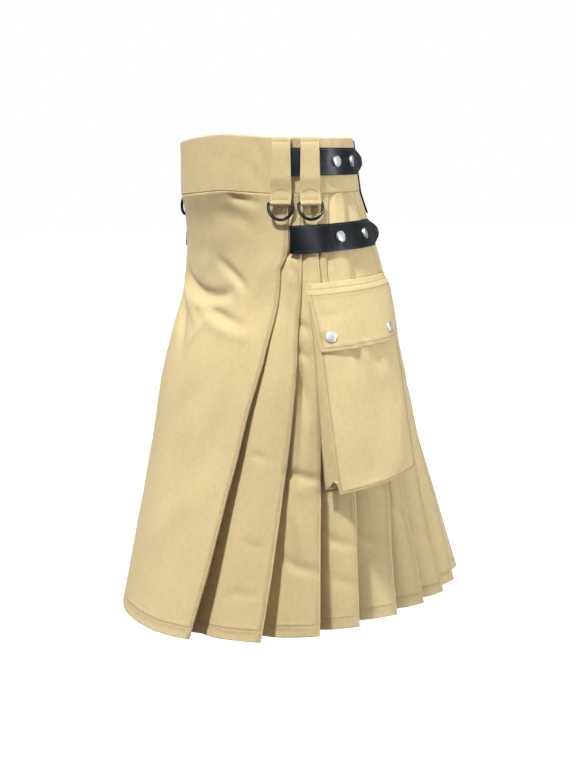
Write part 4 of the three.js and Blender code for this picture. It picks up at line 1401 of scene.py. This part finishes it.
for part_name, grids in GRIDS.items():
    sew_panel(part_name, *grids)
tan_sewing.sew("tan_stitching", tan_thread, "khaki_twill")
black_sewing.sew("strap_stitching", black_thread, "black_leather")

# Camera at the photograph's place

# Its distance, height and step aside are in metres, and its focal length in pixels of the picture.
AZIMUTH, PITCH, DISTANCE, EYE, ASIDE = math.radians(62), math.radians(8.3), 2.0, 0.008, 0.026
LENS_PX, PICTURE_PX, SENSOR = 1530.0, 768, 36
right = Vector((math.cos(AZIMUTH), math.sin(AZIMUTH), 0))
level = Vector((-math.sin(AZIMUTH), math.cos(AZIMUTH), 0))
forward = level * math.cos(PITCH) - Vector((0, 0, math.sin(PITCH)))
camera_data = bpy.data.cameras.new("camera")
camera_data.sensor_width = SENSOR
camera_data.lens = SENSOR * LENS_PX / PICTURE_PX
camera = bpy.data.objects.new("camera", camera_data)
bpy.context.scene.collection.objects.link(camera)
spot = level * -DISTANCE + right * ASIDE + Vector((0, 0, EYE))
turned = Matrix((right, right.cross(forward), -forward)).transposed()
camera.matrix_world = Matrix.Translation(spot) @ turned.to_4x4()
bpy.context.scene.camera = camera

# Studio


MIDDLE = Vector((0, 0, -0.3))


def area_light(name, azimuth, height, distance, size, power, tint=(1, 1, 1)):
    """A round lamp aimed at the kilt's middle: degrees from its front to the left, degrees up."""
    a, e = math.radians(azimuth), math.radians(height)
    way = Vector((math.sin(a) * math.cos(e), -math.cos(a) * math.cos(e), math.sin(e)))
    data = bpy.data.lights.new(name, "AREA")
    data.shape, data.size, data.energy, data.color = "DISK", size, power, tint
    lamp = bpy.data.objects.new(name, data)
    bpy.context.scene.collection.objects.link(lamp)
    lamp.location = MIDDLE + distance * way
    lamp.rotation_euler = (-way).to_track_quat("-Z", "Y").to_euler()
    return lamp


area_light("key", 22, 58, 7.0, 0.7, 660)
# A large soft lamp that shows only as a sheen on leather and metal.
sheen = area_light("sheen", 68, 24, 5.0, 2.4, 120, (0.86, 0.94, 1.0))
sheen.visible_diffuse = sheen.visible_camera = False
area_light("fill", 133, 8, 5.0, 1.3, 172, (0.98, 0.99, 1.0))


def studio_world():
    """Soft white surroundings, brighter above than below."""
    world = bpy.data.worlds.new("studio")
    world.use_nodes = True
    tree = world.node_tree
    tree.nodes.clear()
    make = tree.nodes.new
    output, lit, seen, place, parts, ramp = (make("ShaderNode" + kind) for kind in (
        "OutputWorld", "Background", "Background", "TexCoord", "SeparateXYZ", "MapRange"))
    tree.links.new(place.outputs["Generated"], parts.inputs[0])
    tree.links.new(parts.outputs["Z"], ramp.inputs["Value"])
    for socket, value in (("From Min", -1.0), ("From Max", 1.0), ("To Min", 0.2), ("To Max", 0.42)):
        ramp.inputs[socket].default_value = value
    tree.links.new(ramp.outputs["Result"], lit.inputs["Strength"])
    seen.inputs["Color"].default_value = (1, 1, 1, 1)
    lit.inputs["Color"].default_value = (1, 1, 1, 1)
    path, chosen = make("ShaderNodeLightPath"), make("ShaderNodeMixShader")
    tree.links.new(path.outputs["Is Camera Ray"], chosen.inputs[0])
    tree.links.new(lit.outputs[0], chosen.inputs[1])
    tree.links.new(seen.outputs[0], chosen.inputs[2])
    tree.links.new(chosen.outputs[0], output.inputs["Surface"])
    return world


bpy.context.scene.world = studio_world()
bpy.context.scene.view_settings.view_transform = "Standard"

bpy.ops.mesh.primitive_plane_add(size=40, location=(0, 0, -1.05))
floor = bpy.context.active_object
floor.name = "floor"
floor.visible_diffuse = floor.visible_glossy = False
floor_look = Look("pale_floor")
floor_look.put(floor_look.surface.inputs["Emission Color"], (1, 1, 1, 1))
floor_look.put(floor_look.surface.inputs["Emission Strength"], 0.9)
floor.data.materials.append(floor_look.finish(Base_Color=(0.3, 0.3, 0.3, 1), Roughness=0.95))
